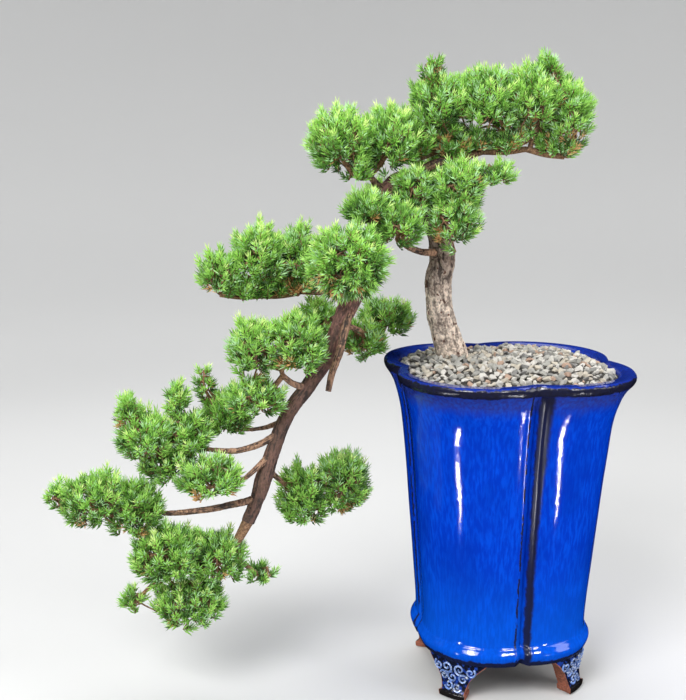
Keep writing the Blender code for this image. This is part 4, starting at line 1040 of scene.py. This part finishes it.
def bark_material(name, ridge, fissure, warm, worn, grain=0.4, dark=None):
    """Flaking bark: painted shade in its fissures and over a band of heights, mottled with warm flakes, dark
    knots and pale worn ridges.
    """
    material, shader, nodes = new_material(name, 0.86)
    ridge_at = attribute(nodes, "ridge")
    height = level(nodes)
    fibre, rough = mottle(nodes, 560.0, along=grain, detail=6.0, low=0.35, high=0.66)
    patch, _ = mottle(nodes, 130.0, along=grain, detail=4.0, low=0.46, high=0.58)
    knot, _ = mottle(nodes, 210.0, along=0.9, detail=1.0, low=0.64, high=0.68)
    chip, edge = mottle(nodes, 330.0, along=grain, detail=5.0, low=0.50, high=0.57)
    tint = nodes.mix(fibre, Vector(ridge) * 0.55, Vector(ridge) * 1.15)
    warmed = nodes.mix(fibre, (0.070, 0.034, 0.022), (0.27, 0.135, 0.085))
    tint = nodes.mix(nodes.times(patch, warm), tint, warmed)
    tint = nodes.mix(nodes.times(chip, worn), tint, Vector(ridge) * 1.6)
    tint = nodes.mix(knot, tint, (0.13, 0.050, 0.030))
    # painted shade: the deeper a point lies in a fissure, the nearer it comes to the fissure colour
    deep = nodes.between(ridge_at, 0.88, 0.48)
    # painted shade: the bark darkens over the band of heights given by dark
    if dark:
        shaded = nodes.between(height, *dark)
        tint = nodes.mix(nodes.times(shaded, 0.68), tint, (0.120, 0.062, 0.038))
        deep = nodes.times(deep, nodes.plus(nodes.times(shaded, 0.4), 0.6))
    nodes.feed(shader.inputs["Base Color"], nodes.mix(deep, tint, fissure))
    relief = nodes.plus(rough, nodes.times(edge, 1.5))
    nodes.feed(shader.inputs["Normal"], bump(nodes, relief, 1.0, 0.0014))
    return material


def trunk_limbs():
    """The two parts of the trunk; they meet at the top of the bend."""
    whole = Limb(smooth_path(TRUNK_RISE + TRUNK_FALL, TRUNK_ROWS))
    whole.ahead[0], whole.side[0], whole.across[0] = np.eye(3)[[2, 0, 1]]
    split = (len(TRUNK_RISE) - 1) * TRUNK_ROWS
    parts = {}
    for name, rows in (("trunk_rise", slice(0, split + 1)), ("trunk_fall", slice(split, None))):
        part = Limb.__new__(Limb)
        for field in ("centres", "radii", "ahead", "side", "across", "run"):
            setattr(part, field, getattr(whole, field)[rows])
        parts[name] = part
    return parts


def bough_limb(name):
    _, root, tip, places = BOUGHS[name]
    radii = np.linspace(root, tip, len(places))
    return Limb(smooth_path(np.column_stack((places, radii)), BOUGH_ROWS))


class BONSAI_OT_trunk(bpy.types.Operator):
    """Grow the trunk with its fissured bark"""
    bl_idname = "bonsai.trunk"
    bl_label = "Trunk"

    def execute(self, context):
        settings = context.scene.bonsai_bark
        limbs = trunk_limbs()
        # the last numbers give the painted shade: above 0.30 m on the old trunk, under the crown, and below
        # 0.285 m on the falling one
        old = bark_material("grey_bark", tuple(settings.ridge), tuple(settings.fissure), 0.35, 0.6, 0.8,
                            (0.300, 0.345))
        young = bark_material("red_brown_bark", tuple(settings.young), tuple(settings.fissure), 0.6, 0.45,
                              0.5, (0.285, 0.235))
        for name, piece, slot, material, plates in (
                ("trunk_rise", "old_trunk", "grey_bark", old, 0.85),
                ("trunk_fall", "falling_trunk", "red_brown_bark", young, 0.65)):
            mesh = bark_mesh(piece, limbs[name], TRUNK_SIDES, settings.relief, plates, trunk_flare)
            mesh.materials.append(material)
            finish_piece(new_object(piece, mesh), slot, name, smooth=70)
        return {"FINISHED"}


class BONSAI_OT_boughs(bpy.types.Operator):
    """Grow the boughs and the dead snag"""
    bl_idname = "bonsai.boughs"
    bl_label = "Boughs"

    def execute(self, context):
        settings = context.scene.bonsai_bark
        material = bark_material("tan_bark", tuple(settings.bough), tuple(settings.fissure), 0.4, 0.5)
        for number, name in enumerate(BOUGHS):
            relief = settings.relief * BOUGH_RELIEF
            mesh = bark_mesh(name + "_bark", bough_limb(name), BOUGH_SIDES, relief, 0.7, seed=number * 5.0)
            mesh.materials.append(material)
            finish_piece(new_object(name + "_bark", mesh), "tan_bark", name, smooth=70)
        return {"FINISHED"}


# ---- foliage ------------------------------------------------------------------------------
LIFTS = {"foliage_pompom": 0.12}
ALL_ROUND = ("foliage_pompom",)          # shoots point down as well as up
BARE_BELOW = ("foliage_crown_right", "foliage_high_left")    # a bough shows along the underside
LOW_STEM_DROP = 0.96
LOW_STEM_WIDTH = 1.25
STEM_SPRAYS = 0.45              # shoots straight from such a bough, as a share of those on the pads
USUAL_LIFT = 1.00               # how strongly shoots turn upwards
OUTER_REACH = (0.80, 1.02)
INNER_REACH = (0.42, 0.82)
LEADERS = 0.30                  # share of the upper shoots that stand out of the others
LEADER_RISE = 0.0055
LEADER_TONE = 0.3
OUTER_FROM = 0.85               # sprays from this reach on belong to the outside of a pad
# painted light and shade: sprays inside a pad take darker tones than those on its outside, and the tones rise
# towards each pad's top
OUTER_TONE = (2.75, 0.85)       # (tone in the middle of a pad, how much painted light raises it at its top)
INNER_TONE = (1.7, 0.5)
LOW_LEFT_OUT = 0.88             # share of the sprays underneath that are left out
STRAW_BELOW = 0.14              # share of dead sprays on the underside
STRAW_ON_STEM = 0.28            # and among those that rise from a bare bough
BARE_OUT = -0.25                # as LOWEST_OUT, where a bough shows along the underside
STRAW_UNDER = -0.25             # dead sprays lie lower than this in a pad, in half heights
LENGTHS = (0.72, 1.08)          # of a shoot, as shares of the usual length
LONGEST_IN_GAP = 0.8            # a shoot is no longer than this share of the way to the wood
SHORTEST = 0.004
WAY_JITTER = 0.16
TONE_JITTER = (0.45, 0.4)       # between a spray's shoots, and between sprays
BRANCHLETS_PER_AREA = 1500.0
BRANCHLET_REACH = 0.62
LOWEST_OUT = -0.62              # sprays that would point further down than this are mostly left out
LIMB_CLEARANCE = 0.0012
POT_CLEARANCE = 0.0030
FAR_OFF = 5.0
SIDE_SHOOTS = ((0.16, 0.60), (0.42, 0.46))     # (place along the shoot, length as a share of it)
SIDE_ANGLE = 30.0
MOST_TRIANGLES = 185000         # in one piece of needles
NEEDLE_LEAN = 38.0
NEEDLES_IN_WHORL = 3
TRIANGLES_IN_NEEDLE = 6


def reach_in(points, pads):
    """How far out each point lies in the nearest of the pads: 1 on its surface."""
    pads = np.asarray(pads, float)
    away = (np.atleast_2d(points)[:, None] - pads[None, :, :3]) / pads[None, :, 3:]
    return np.linalg.norm(away, axis=2).min(axis=1)


def curve_through(start, bend, end, count):
    """Points of a quadratic curve from start to end."""
    t = np.linspace(0.0, 1.0, count)[:, None]
    return start * (1 - t) ** 2 + bend * 2 * t * (1 - t) + end * t * t


def unit(vector):
    return vector / max(float(np.linalg.norm(vector)), 1e-9)


class Mass:
    """Foliage that grows from one stem and keeps to its own space."""

    def __init__(self, name, limbs, seed):
        carrier, pads = MASSES[name]
        self.name = name
        self.carrier = limbs[carrier]
        self.pads = np.array(pads)
        rest = [pad for other, (_, others) in MASSES.items() if other != name for pad in others]
        self.others = np.array([pad for pad in rest if reach_in(pad[:3], pads)[0] < FAR_OFF])
        self.limbs = [limb for limb in limbs.values() if reach_in(limb.centres, pads).min() < FAR_OFF]
        self.picked = np.random.default_rng(seed)
        self.twigs = []             # (points, radii)
        self.shoots = []            # (points, size, tone)
        self.twigs_of_shoots = []   # (points, radii)

    def is_free(self, points, furthest=FURTHEST):
        """True for each point where the mass may grow: its own space, off the limbs and the pot."""
        own = reach_in(points, self.pads)
        free = own <= furthest
        if len(self.others):
            free &= own <= reach_in(points, self.others)
        in_pot = (points[:, 2] < POT_OUTSIDE[-1][0] + POT_CLEARANCE)
        in_pot &= np.hypot(points[:, 0], points[:, 1]) < POT_OUTSIDE[-2][1] + POT_CLEARANCE
        free &= ~in_pot
        for limb in self.limbs:
            free &= limb.near(points) > LIMB_CLEARANCE
        return free

    def nearest_wood(self, point):
        """The place on the stem and its branches nearest to a point, and the way it runs there."""
        nearest, way, least = None, None, math.inf
        for points, _ in self.twigs:
            gaps = np.linalg.norm(points - point, axis=1)
            i = int(gaps.argmin())
            if gaps[i] < least:
                least = gaps[i]
                nearest = points[i]
                way = points[min(i + 1, len(points) - 1)] - points[max(i - 1, 0)]
        return nearest, unit(way)

    def grow_stem(self):
        """The stem starts square on its carrier's tip, and a branch of it runs to each pad's heart."""
        ahead = self.carrier.ahead[-1]
        start = self.carrier.centres[-1] - ahead * 0.001
        bare = self.name in BARE_BELOW
        drop, widen = (LOW_STEM_DROP, LOW_STEM_WIDTH) if bare else (HEART_DROP, 1.0)
        hearts = [(np.array((x, y, z - drop * c)), (STEM_BASE + STEM_PER_WIDTH * a) * widen)
                  for x, y, z, a, b, c in self.pads]
        hearts.sort(key=lambda heart: np.linalg.norm(heart[0] - start))
        for index, (heart, radius) in enumerate(hearts):
            if index == 0:
                root, root_radius = start, self.carrier.radii[-1]
                bend = start + ahead * np.linalg.norm(heart - start) * STEM_LEAD
            else:
                root, root_radius = self.nearest_wood(heart)[0], radius
                bend = (root + heart) / 2 - np.array(UP) * np.linalg.norm(heart - root) * STEM_SAG
            middle = (root + bend) / 4 + (bend + heart) / 4
            knots = [(*root, root_radius), (*middle, (root_radius + radius) / 2), (*heart, radius * STEM_TIP)]
            path = smooth_path(knots, 8)
            self.twigs.append((path[:, :3], path[:, 3]))

    def targets(self, pad, reach, count, shift=0):
        """Places round a pad with the way out there, even on all sides."""
        numbers = np.arange(1, count + 1) + shift
        height, turn = ((0.5 + pad[0] * EVEN_START + numbers * step) % 1.0 for step in EVEN_STEPS)
        level = 1.0 - 2.0 * height
        flat = np.sqrt(1.0 - level * level)
        ways = np.column_stack((flat * np.cos(math.tau * turn), flat * np.sin(math.tau * turn), level))
        outs = ways / pad[3:]
        outs /= np.linalg.norm(outs, axis=1)[:, None]
        return pad[:3] + ways * pad[3:] * np.broadcast_to(reach, (count,))[:, None], outs

    def grow_branchlets(self, pad, area):
        count = max(4, round(area * BRANCHLETS_PER_AREA))
        tips, outs = self.targets(pad, BRANCHLET_REACH, count, shift=900)
        for tip, out, free in zip(tips, outs, self.is_free(tips)):
            if not free:
                continue
            root, way = self.nearest_wood(tip)
            bend = (root + tip) / 2 + way * np.linalg.norm(tip - root) * 0.2 - out * 0.0015
            points = curve_through(root, bend, tip, 9)
            self.twigs.append((points, np.linspace(0.0010, 0.00055, 9)))

    def add_spray(self, tip, out, lift, length, tone, furthest=FURTHEST):
        """A twig from the nearest wood, ending in a shoot with a few side shoots."""
        wood, _ = self.nearest_wood(tip)
        gap = np.linalg.norm(tip - wood)
        length = min(length, gap * LONGEST_IN_GAP)
        if length < SHORTEST:
            return
        jitter = self.picked.normal(size=3) * WAY_JITTER
        way = unit(out + np.array(UP) * lift + jitter)
        foot = tip - way * length
        turn_up = np.array(UP) * length * 0.06
        main = curve_through(foot, (foot + tip) / 2 - turn_up, tip, 4)
        shoots = [(main, 1.0)]
        side = unit(np.cross(way, self.picked.normal(size=3)))
        for number, (place, share) in enumerate(SIDE_SHOOTS):
            spin = number * 2.2 + self.picked.uniform(-0.4, 0.4)
            turned = Matrix.Rotation(spin, 3, Vector(way)) @ Vector(side)
            lean = math.radians(SIDE_ANGLE + self.picked.uniform(-10.0, 8.0))
            ahead = way * math.cos(lean) + np.array(turned) * math.sin(lean)
            root = foot + (tip - foot) * place
            end = root + unit(ahead + np.array(UP) * 0.12) * length * share
            shoots.append((curve_through(root, (root + end) / 2 + way * length * share * 0.08, end, 3), 0.86))
        free = self.is_free(np.array([points[-1] for points, _ in shoots] + [(foot + tip) / 2]), furthest)
        if not (free[0] and free[-1]):
            return
        tones = np.clip(np.round(tone + self.picked.normal(size=len(shoots)) * TONE_JITTER[0]), 0, 4)
        for (points, size), kept, shade in zip(shoots, free, tones):
            if kept:
                self.shoots.append((points, size * self.picked.uniform(0.9, 1.08), shade))
                self.twigs_of_shoots.append((points, np.linspace(0.00050, 0.00022, len(points))))
        if np.linalg.norm(foot - wood) > 0.0005:
            middle = (foot + wood) / 2 - way * np.linalg.norm(foot - wood) * 0.15
            joined = curve_through(wood, middle, foot, 4)
            self.twigs_of_shoots.append((joined, np.linspace(0.0007, 0.0005, len(joined))))

    def grow_along_stem(self, count, length):
        """Shoots that rise straight from a bough along the underside, some of them dead."""
        for _ in range(count):
            points, _ = self.twigs[self.picked.integers(len(self.pads))]
            wood = points[self.picked.integers(3, len(points))]
            way = unit(np.array((*self.picked.normal(size=2) * 0.75, 1.0)))
            tone = 0.0 if self.picked.random() < STRAW_ON_STEM else self.picked.uniform(1.6, 3.2)
            self.add_spray(wood + way * length * self.picked.uniform(0.5, 1.1), way, 0.3, length, tone)

    def grow(self, settings, thinning):
        self.grow_stem()
        lift = LIFTS.get(self.name, USUAL_LIFT)
        limit = BARE_OUT if self.name in BARE_BELOW else LOWEST_OUT
        may_skip = self.name not in ALL_ROUND
        areas = [4.0 * math.pi / 3.0 * (a * b + b * c + c * a) for a, b, c in self.pads[:, 3:]]
        if self.name in BARE_BELOW:
            count = round(sum(areas) * settings.sprays * STEM_SPRAYS * thinning)
            self.grow_along_stem(count, settings.shoot_length)
        for pad, area in zip(self.pads, areas):
            self.grow_branchlets(pad, area)
        for pad, area in zip(self.pads, areas):
            count = round(area * settings.sprays * thinning)
            inner = round(count * settings.filling)
            reach = np.concatenate((self.picked.uniform(*OUTER_REACH, count),
                                    self.picked.uniform(*INNER_REACH, inner)))
            tips, outs = self.targets(pad, reach, count + inner)
            kept = reach_in(tips, self.pads) >= reach * BURIED
            leaders = self.picked.random(len(tips)) < LEADERS
            for tip, out, far, real, leads in zip(tips, outs, reach, kept, leaders):
                low = may_skip and out[2] < limit and self.picked.random() < LOW_LEFT_OUT
                if not real or low:
                    continue
                # painted light and shade: a darker tone inside the pad, rising towards its top
                rise = (tip[2] - pad[2]) / pad[5]
                middle, painted_top_light = OUTER_TONE if far > OUTER_FROM else INNER_TONE
                tone = middle + painted_top_light * rise
                if rise < STRAW_UNDER and self.picked.random() < STRAW_BELOW:
                    tone = 0.0
                length = settings.shoot_length * self.picked.uniform(*LENGTHS)
                furthest = FURTHEST
                if leads and far > OUTER_FROM and out[2] > 0.1:
                    rise = LEADER_RISE * self.picked.uniform(0.3, 1.2) * min(lift, 1.0)
                    tip, length, furthest = tip + np.array(UP) * rise, length + rise, FURTHEST_LEADER
                    tone += LEADER_TONE
                tone += self.picked.normal() * TONE_JITTER[1]
                self.add_spray(tip, out, lift, length, tone, furthest)


def paths_mesh(name, paths, **values):
    """A mesh of open paths; each value holds one number or one array for each path."""
    points, edges, numbers = [], [], {label: [] for label in values}
    for index, path in enumerate(paths):
        edges += [(len(points) + i, len(points) + i + 1) for i in range(len(path) - 1)]
        points += [np.array(AXIS) + point for point in path]
        for label, given in values.items():
            numbers[label] += list(np.broadcast_to(given[index], (len(path),)))
    return mesh_of(name, points, edges=edges, **numbers)


def whorl_of_needles(settings):
    """Three needles that lean forward round a shoot, each a spindle with six faces."""
    lean = math.radians(NEEDLE_LEAN)
    points, faces = [], []
    for number in range(NEEDLES_IN_WHORL):
        turn = math.tau * number / NEEDLES_IN_WHORL
        flat = Vector((math.cos(turn), math.sin(turn), 0.0))
        ahead = flat * math.sin(lean) + UP * math.cos(lean)
        over = UP.cross(flat)
        top = ahead.cross(over)
        middle = ahead * settings.needle_length * 0.38
        start = len(points)
        points.append(flat * 0.0002)
        for angle, wide in ((90, 0.5), (210, 0.42), (330, 0.42)):
            way = over * math.sin(math.radians(angle + 90)) + top * math.cos(math.radians(angle + 90))
            points.append(middle + way * settings.needle_width * wide)
        points.append(ahead * settings.needle_length - flat * settings.needle_length * 0.06)
        for k in range(3):
            a, b = start + 1 + k, start + 1 + (k + 1) % 3
            faces += [(start, b, a), (start + 4, a, b)]
    mesh = mesh_of("whorl", points, faces)
    outward(mesh)
    return bpy.data.objects.new("whorl", mesh)


class BONSAI_OT_foliage(bpy.types.Operator):
    """Grow twigs and needles over every mass of foliage"""
    bl_idname = "bonsai.foliage"
    bl_label = "Foliage"

    def execute(self, context):
        settings = context.scene.bonsai_foliage
        limbs = {**trunk_limbs(), **{name: bough_limb(name) for name in BOUGHS}}
        materials = [plain_material(name, tint, 0.55) for name, tint in TONES]
        twig_material, shader, nodes = new_material("twig_bark", 0.85)
        grain, rough = mottle(nodes, 600.0, detail=3.0, low=0.35, high=0.65)
        nodes.feed(shader.inputs["Base Color"], nodes.mix(grain, (0.16, 0.075, 0.035), (0.36, 0.20, 0.10)))
        nodes.feed(shader.inputs["Normal"], bump(nodes, rough, 0.5, 0.0005))
        whorl = whorl_of_needles(settings)
        needles = needle_tree(materials)
        thick, thin = tube_tree("Stems", twig_material, 8), tube_tree("Twigs", twig_material, 3)
        for number, name in enumerate(MASSES):
            mass = Mass(name, limbs, settings.seed * 100 + number)
            mass.grow(settings, 1.0)
            whorls = sum(np.linalg.norm(path[-1] - path[0]) / settings.whorl_spacing
                         for path, _, _ in mass.shoots)
            parts = math.ceil(whorls * NEEDLES_IN_WHORL * TRIANGLES_IN_NEEDLE / MOST_TRIANGLES)
            for part in range(parts):
                shoots = mass.shoots[len(mass.shoots) * part // parts:len(mass.shoots) * (part + 1) // parts]
                label = name + "_needles" + ("_%d" % (part + 1) if parts > 1 else "")
                paths, sizes, tones = zip(*shoots)
                mesh = paths_mesh(label, paths, size=sizes, tone=tones)
                piece = grow(new_object(label, mesh), needles, Whorl=whorl, Spacing=settings.whorl_spacing,
                             Seed=settings.seed + number * 20 + part)
                finish_piece(piece, "juniper_green", name)
            for ending, twigs, tubes in (("_stems", mass.twigs, thick),
                                         ("_twigs", mass.twigs_of_shoots, thin)):
                paths, radii = zip(*twigs)
                mesh = paths_mesh(name + ending, paths, radius=radii)
                finish_piece(grow(new_object(name + ending, mesh), tubes, Thickness=1.0), "tan_bark")
        bpy.data.objects.remove(whorl)
        return {"FINISHED"}


# ---- stage --------------------------------------------------------------------------------
CAMERA_FROM_AXIS = (-0.2666, -0.8650, 0.4442)
CAMERA_TURN = -8.78
CAMERA_DOWN = 10.95
CAMERA_ROLL = 0.26
CAMERA_LENS = 58.31
# a floor that sweeps up into a bowl all round: (radius, height)
FLOOR_SIDES = 96
BOWL = ((0.0, -0.0005), (0.9, -0.0005), (1.5, 0.03), (2.1, 0.25), (2.6, 0.85), (2.75, 1.7), (2.7, 2.6))


def camera_matrix():
    turn, down, roll = (math.radians(value) for value in (CAMERA_TURN, CAMERA_DOWN, CAMERA_ROLL))
    right = Vector((math.cos(turn), math.sin(turn), 0.0))
    ahead = Vector((-math.sin(turn), math.cos(turn), 0.0)) * math.cos(down) - UP * math.sin(down)
    above = right.cross(ahead)
    axes = (right * math.cos(roll) + above * math.sin(roll), above * math.cos(roll) - right * math.sin(roll),
            -ahead)
    matrix = Matrix(axes).transposed().to_4x4()
    matrix.translation = AXIS + Vector(CAMERA_FROM_AXIS)
    return matrix


# lamps seen only as white marks in the glaze: (place, aim, width, height, brightness)
GLEAMS = (
    ((-0.137, -0.180, 0.064), (0.082, -0.072, 0.190), 0.016, 0.016, 90.0),
    ((-0.137, -0.180, 0.040), (0.082, -0.072, 0.170), 0.018, 0.016, 110.0),
    ((-0.137, -0.180, 0.018), (0.082, -0.072, 0.150), 0.014, 0.010, 60.0),
    ((0.280, -0.325, 0.066), (0.155, -0.086, 0.198), 0.016, 0.018, 90.0),
    ((0.290, -0.318, 0.040), (0.156, -0.085, 0.180), 0.018, 0.018, 110.0),
    ((0.300, -0.310, 0.014), (0.158, -0.083, 0.160), 0.014, 0.010, 60.0),
    ((-0.700, -1.000, 0.900), (0.130, -0.050, 0.150), 0.260, 0.260, 60.0),
    ((0.500, -1.200, 0.900), (0.130, -0.050, 0.150), 0.260, 0.260, 60.0),
)


def add_light(name, place, aim, width, height, power):
    light = bpy.data.lights.new(name, "AREA")
    light.shape = "RECTANGLE"
    light.size, light.size_y = width, height
    light.energy = power
    lamp = bpy.data.objects.new(name, light)
    bpy.context.scene.collection.objects.link(lamp)
    lamp.location = place
    lamp.rotation_euler = (Vector(aim) - Vector(place)).to_track_quat("-Z", "Y").to_euler()
    return lamp


class BONSAI_OT_stage(bpy.types.Operator):
    """Set the floor, the lights and the camera"""
    bl_idname = "bonsai.stage"
    bl_label = "Stage"

    def execute(self, context):
        settings = context.scene.bonsai_stage
        rows = smooth_path(BOWL, 8)
        ring = [(math.cos(math.tau * k / FLOOR_SIDES), math.sin(math.tau * k / FLOOR_SIDES))
                for k in range(FLOOR_SIDES)]
        points = [(max(reach, 0.001) * x, max(reach, 0.001) * y, z) for reach, z in rows for x, y in ring]
        mesh = mesh_of("floor", points, loft_faces(len(rows), FLOOR_SIDES, last_cap=False))
        mesh.shade_smooth()
        material, shader, nodes = new_material("pale_floor", 0.9)
        cloud, _ = mottle(nodes, 0.8, detail=2.0, low=0.3, high=0.7)
        tint = Vector(settings.floor)
        nodes.feed(shader.inputs["Base Color"], nodes.mix(cloud, tint * 0.98, tint))
        mesh.materials.append(material)
        floor = new_object("floor", mesh)
        floor.visible_glossy = False

        middle = (0.0, 0.0, 0.27)
        add_light("key", (-0.95, -1.15, 1.55), middle, 0.9, 0.9, settings.key)
        add_light("side", (1.35, -0.75, 0.85), middle, 0.7, 1.0, settings.key * 0.35)
        add_light("top", (0.1, 0.5, 1.9), middle, 1.4, 1.4, settings.key * 0.6)
        for number, (place, aim, width, height, brightness) in enumerate(GLEAMS):
            power = brightness * math.pi * width * height
            lamp = add_light("gleam_%d" % (number + 1), place, aim, width, height, power)
            lamp.visible_camera = lamp.visible_diffuse = False
        world = bpy.data.worlds.new("studio")
        world.use_nodes = True
        world.node_tree.nodes["Background"].inputs["Color"].default_value = (0.95, 0.97, 1.0, 1.0)
        world.node_tree.nodes["Background"].inputs["Strength"].default_value = settings.fill
        context.scene.world = world
        world.cycles_visibility.glossy = False

        lens = bpy.data.cameras.new("camera")
        lens.lens = CAMERA_LENS
        lens.clip_start = 0.01
        camera = bpy.data.objects.new("camera", lens)
        context.scene.collection.objects.link(camera)
        camera.matrix_world = camera_matrix()
        context.scene.camera = camera
        context.scene.view_settings.view_transform = "Standard"
        return {"FINISHED"}


# ---- panel and registration ---------------------------------------------------------------
SETTINGS = (
    ("bonsai_pot", BonsaiPotSettings), ("bonsai_gravel", BonsaiGravelSettings),
    ("bonsai_bark", BonsaiBarkSettings), ("bonsai_foliage", BonsaiFoliageSettings),
    ("bonsai_stage", BonsaiStageSettings),
)
OPERATORS = (
    BONSAI_OT_stage, BONSAI_OT_pot, BONSAI_OT_feet, BONSAI_OT_gravel, BONSAI_OT_trunk, BONSAI_OT_boughs,
    BONSAI_OT_foliage,
)


class BONSAI_PT_panel(bpy.types.Panel):
    """Lists the steps that build the bonsai"""
    bl_idname = "BONSAI_PT_panel"
    bl_label = "Cascade Juniper"
    bl_space_type = "VIEW_3D"
    bl_region_type = "UI"
    bl_category = "Bonsai"

    def draw(self, context):
        for operator in OPERATORS:
            self.layout.operator(operator.bl_idname)
        for name, group in SETTINGS:
            box = self.layout.box()
            for setting in group.__annotations__:
                box.prop(getattr(context.scene, name), setting)


def register():
    for name, group in SETTINGS:
        bpy.utils.register_class(group)
        setattr(bpy.types.Scene, name, PointerProperty(type=group))
    for piece in (*OPERATORS, BONSAI_PT_panel):
        bpy.utils.register_class(piece)


def unregister():
    for piece in (BONSAI_PT_panel, *reversed(OPERATORS)):
        bpy.utils.unregister_class(piece)
    for name, group in reversed(SETTINGS):
        delattr(bpy.types.Scene, name)
        bpy.utils.unregister_class(group)


def main():
    register()
    bpy.ops.bonsai.stage()
    bpy.ops.bonsai.pot()
    bpy.ops.bonsai.feet()
    bpy.ops.bonsai.gravel()
    bpy.ops.bonsai.trunk()
    bpy.ops.bonsai.boughs()
    bpy.ops.bonsai.foliage()
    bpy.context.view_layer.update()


if __name__ == "__main__":
    main()
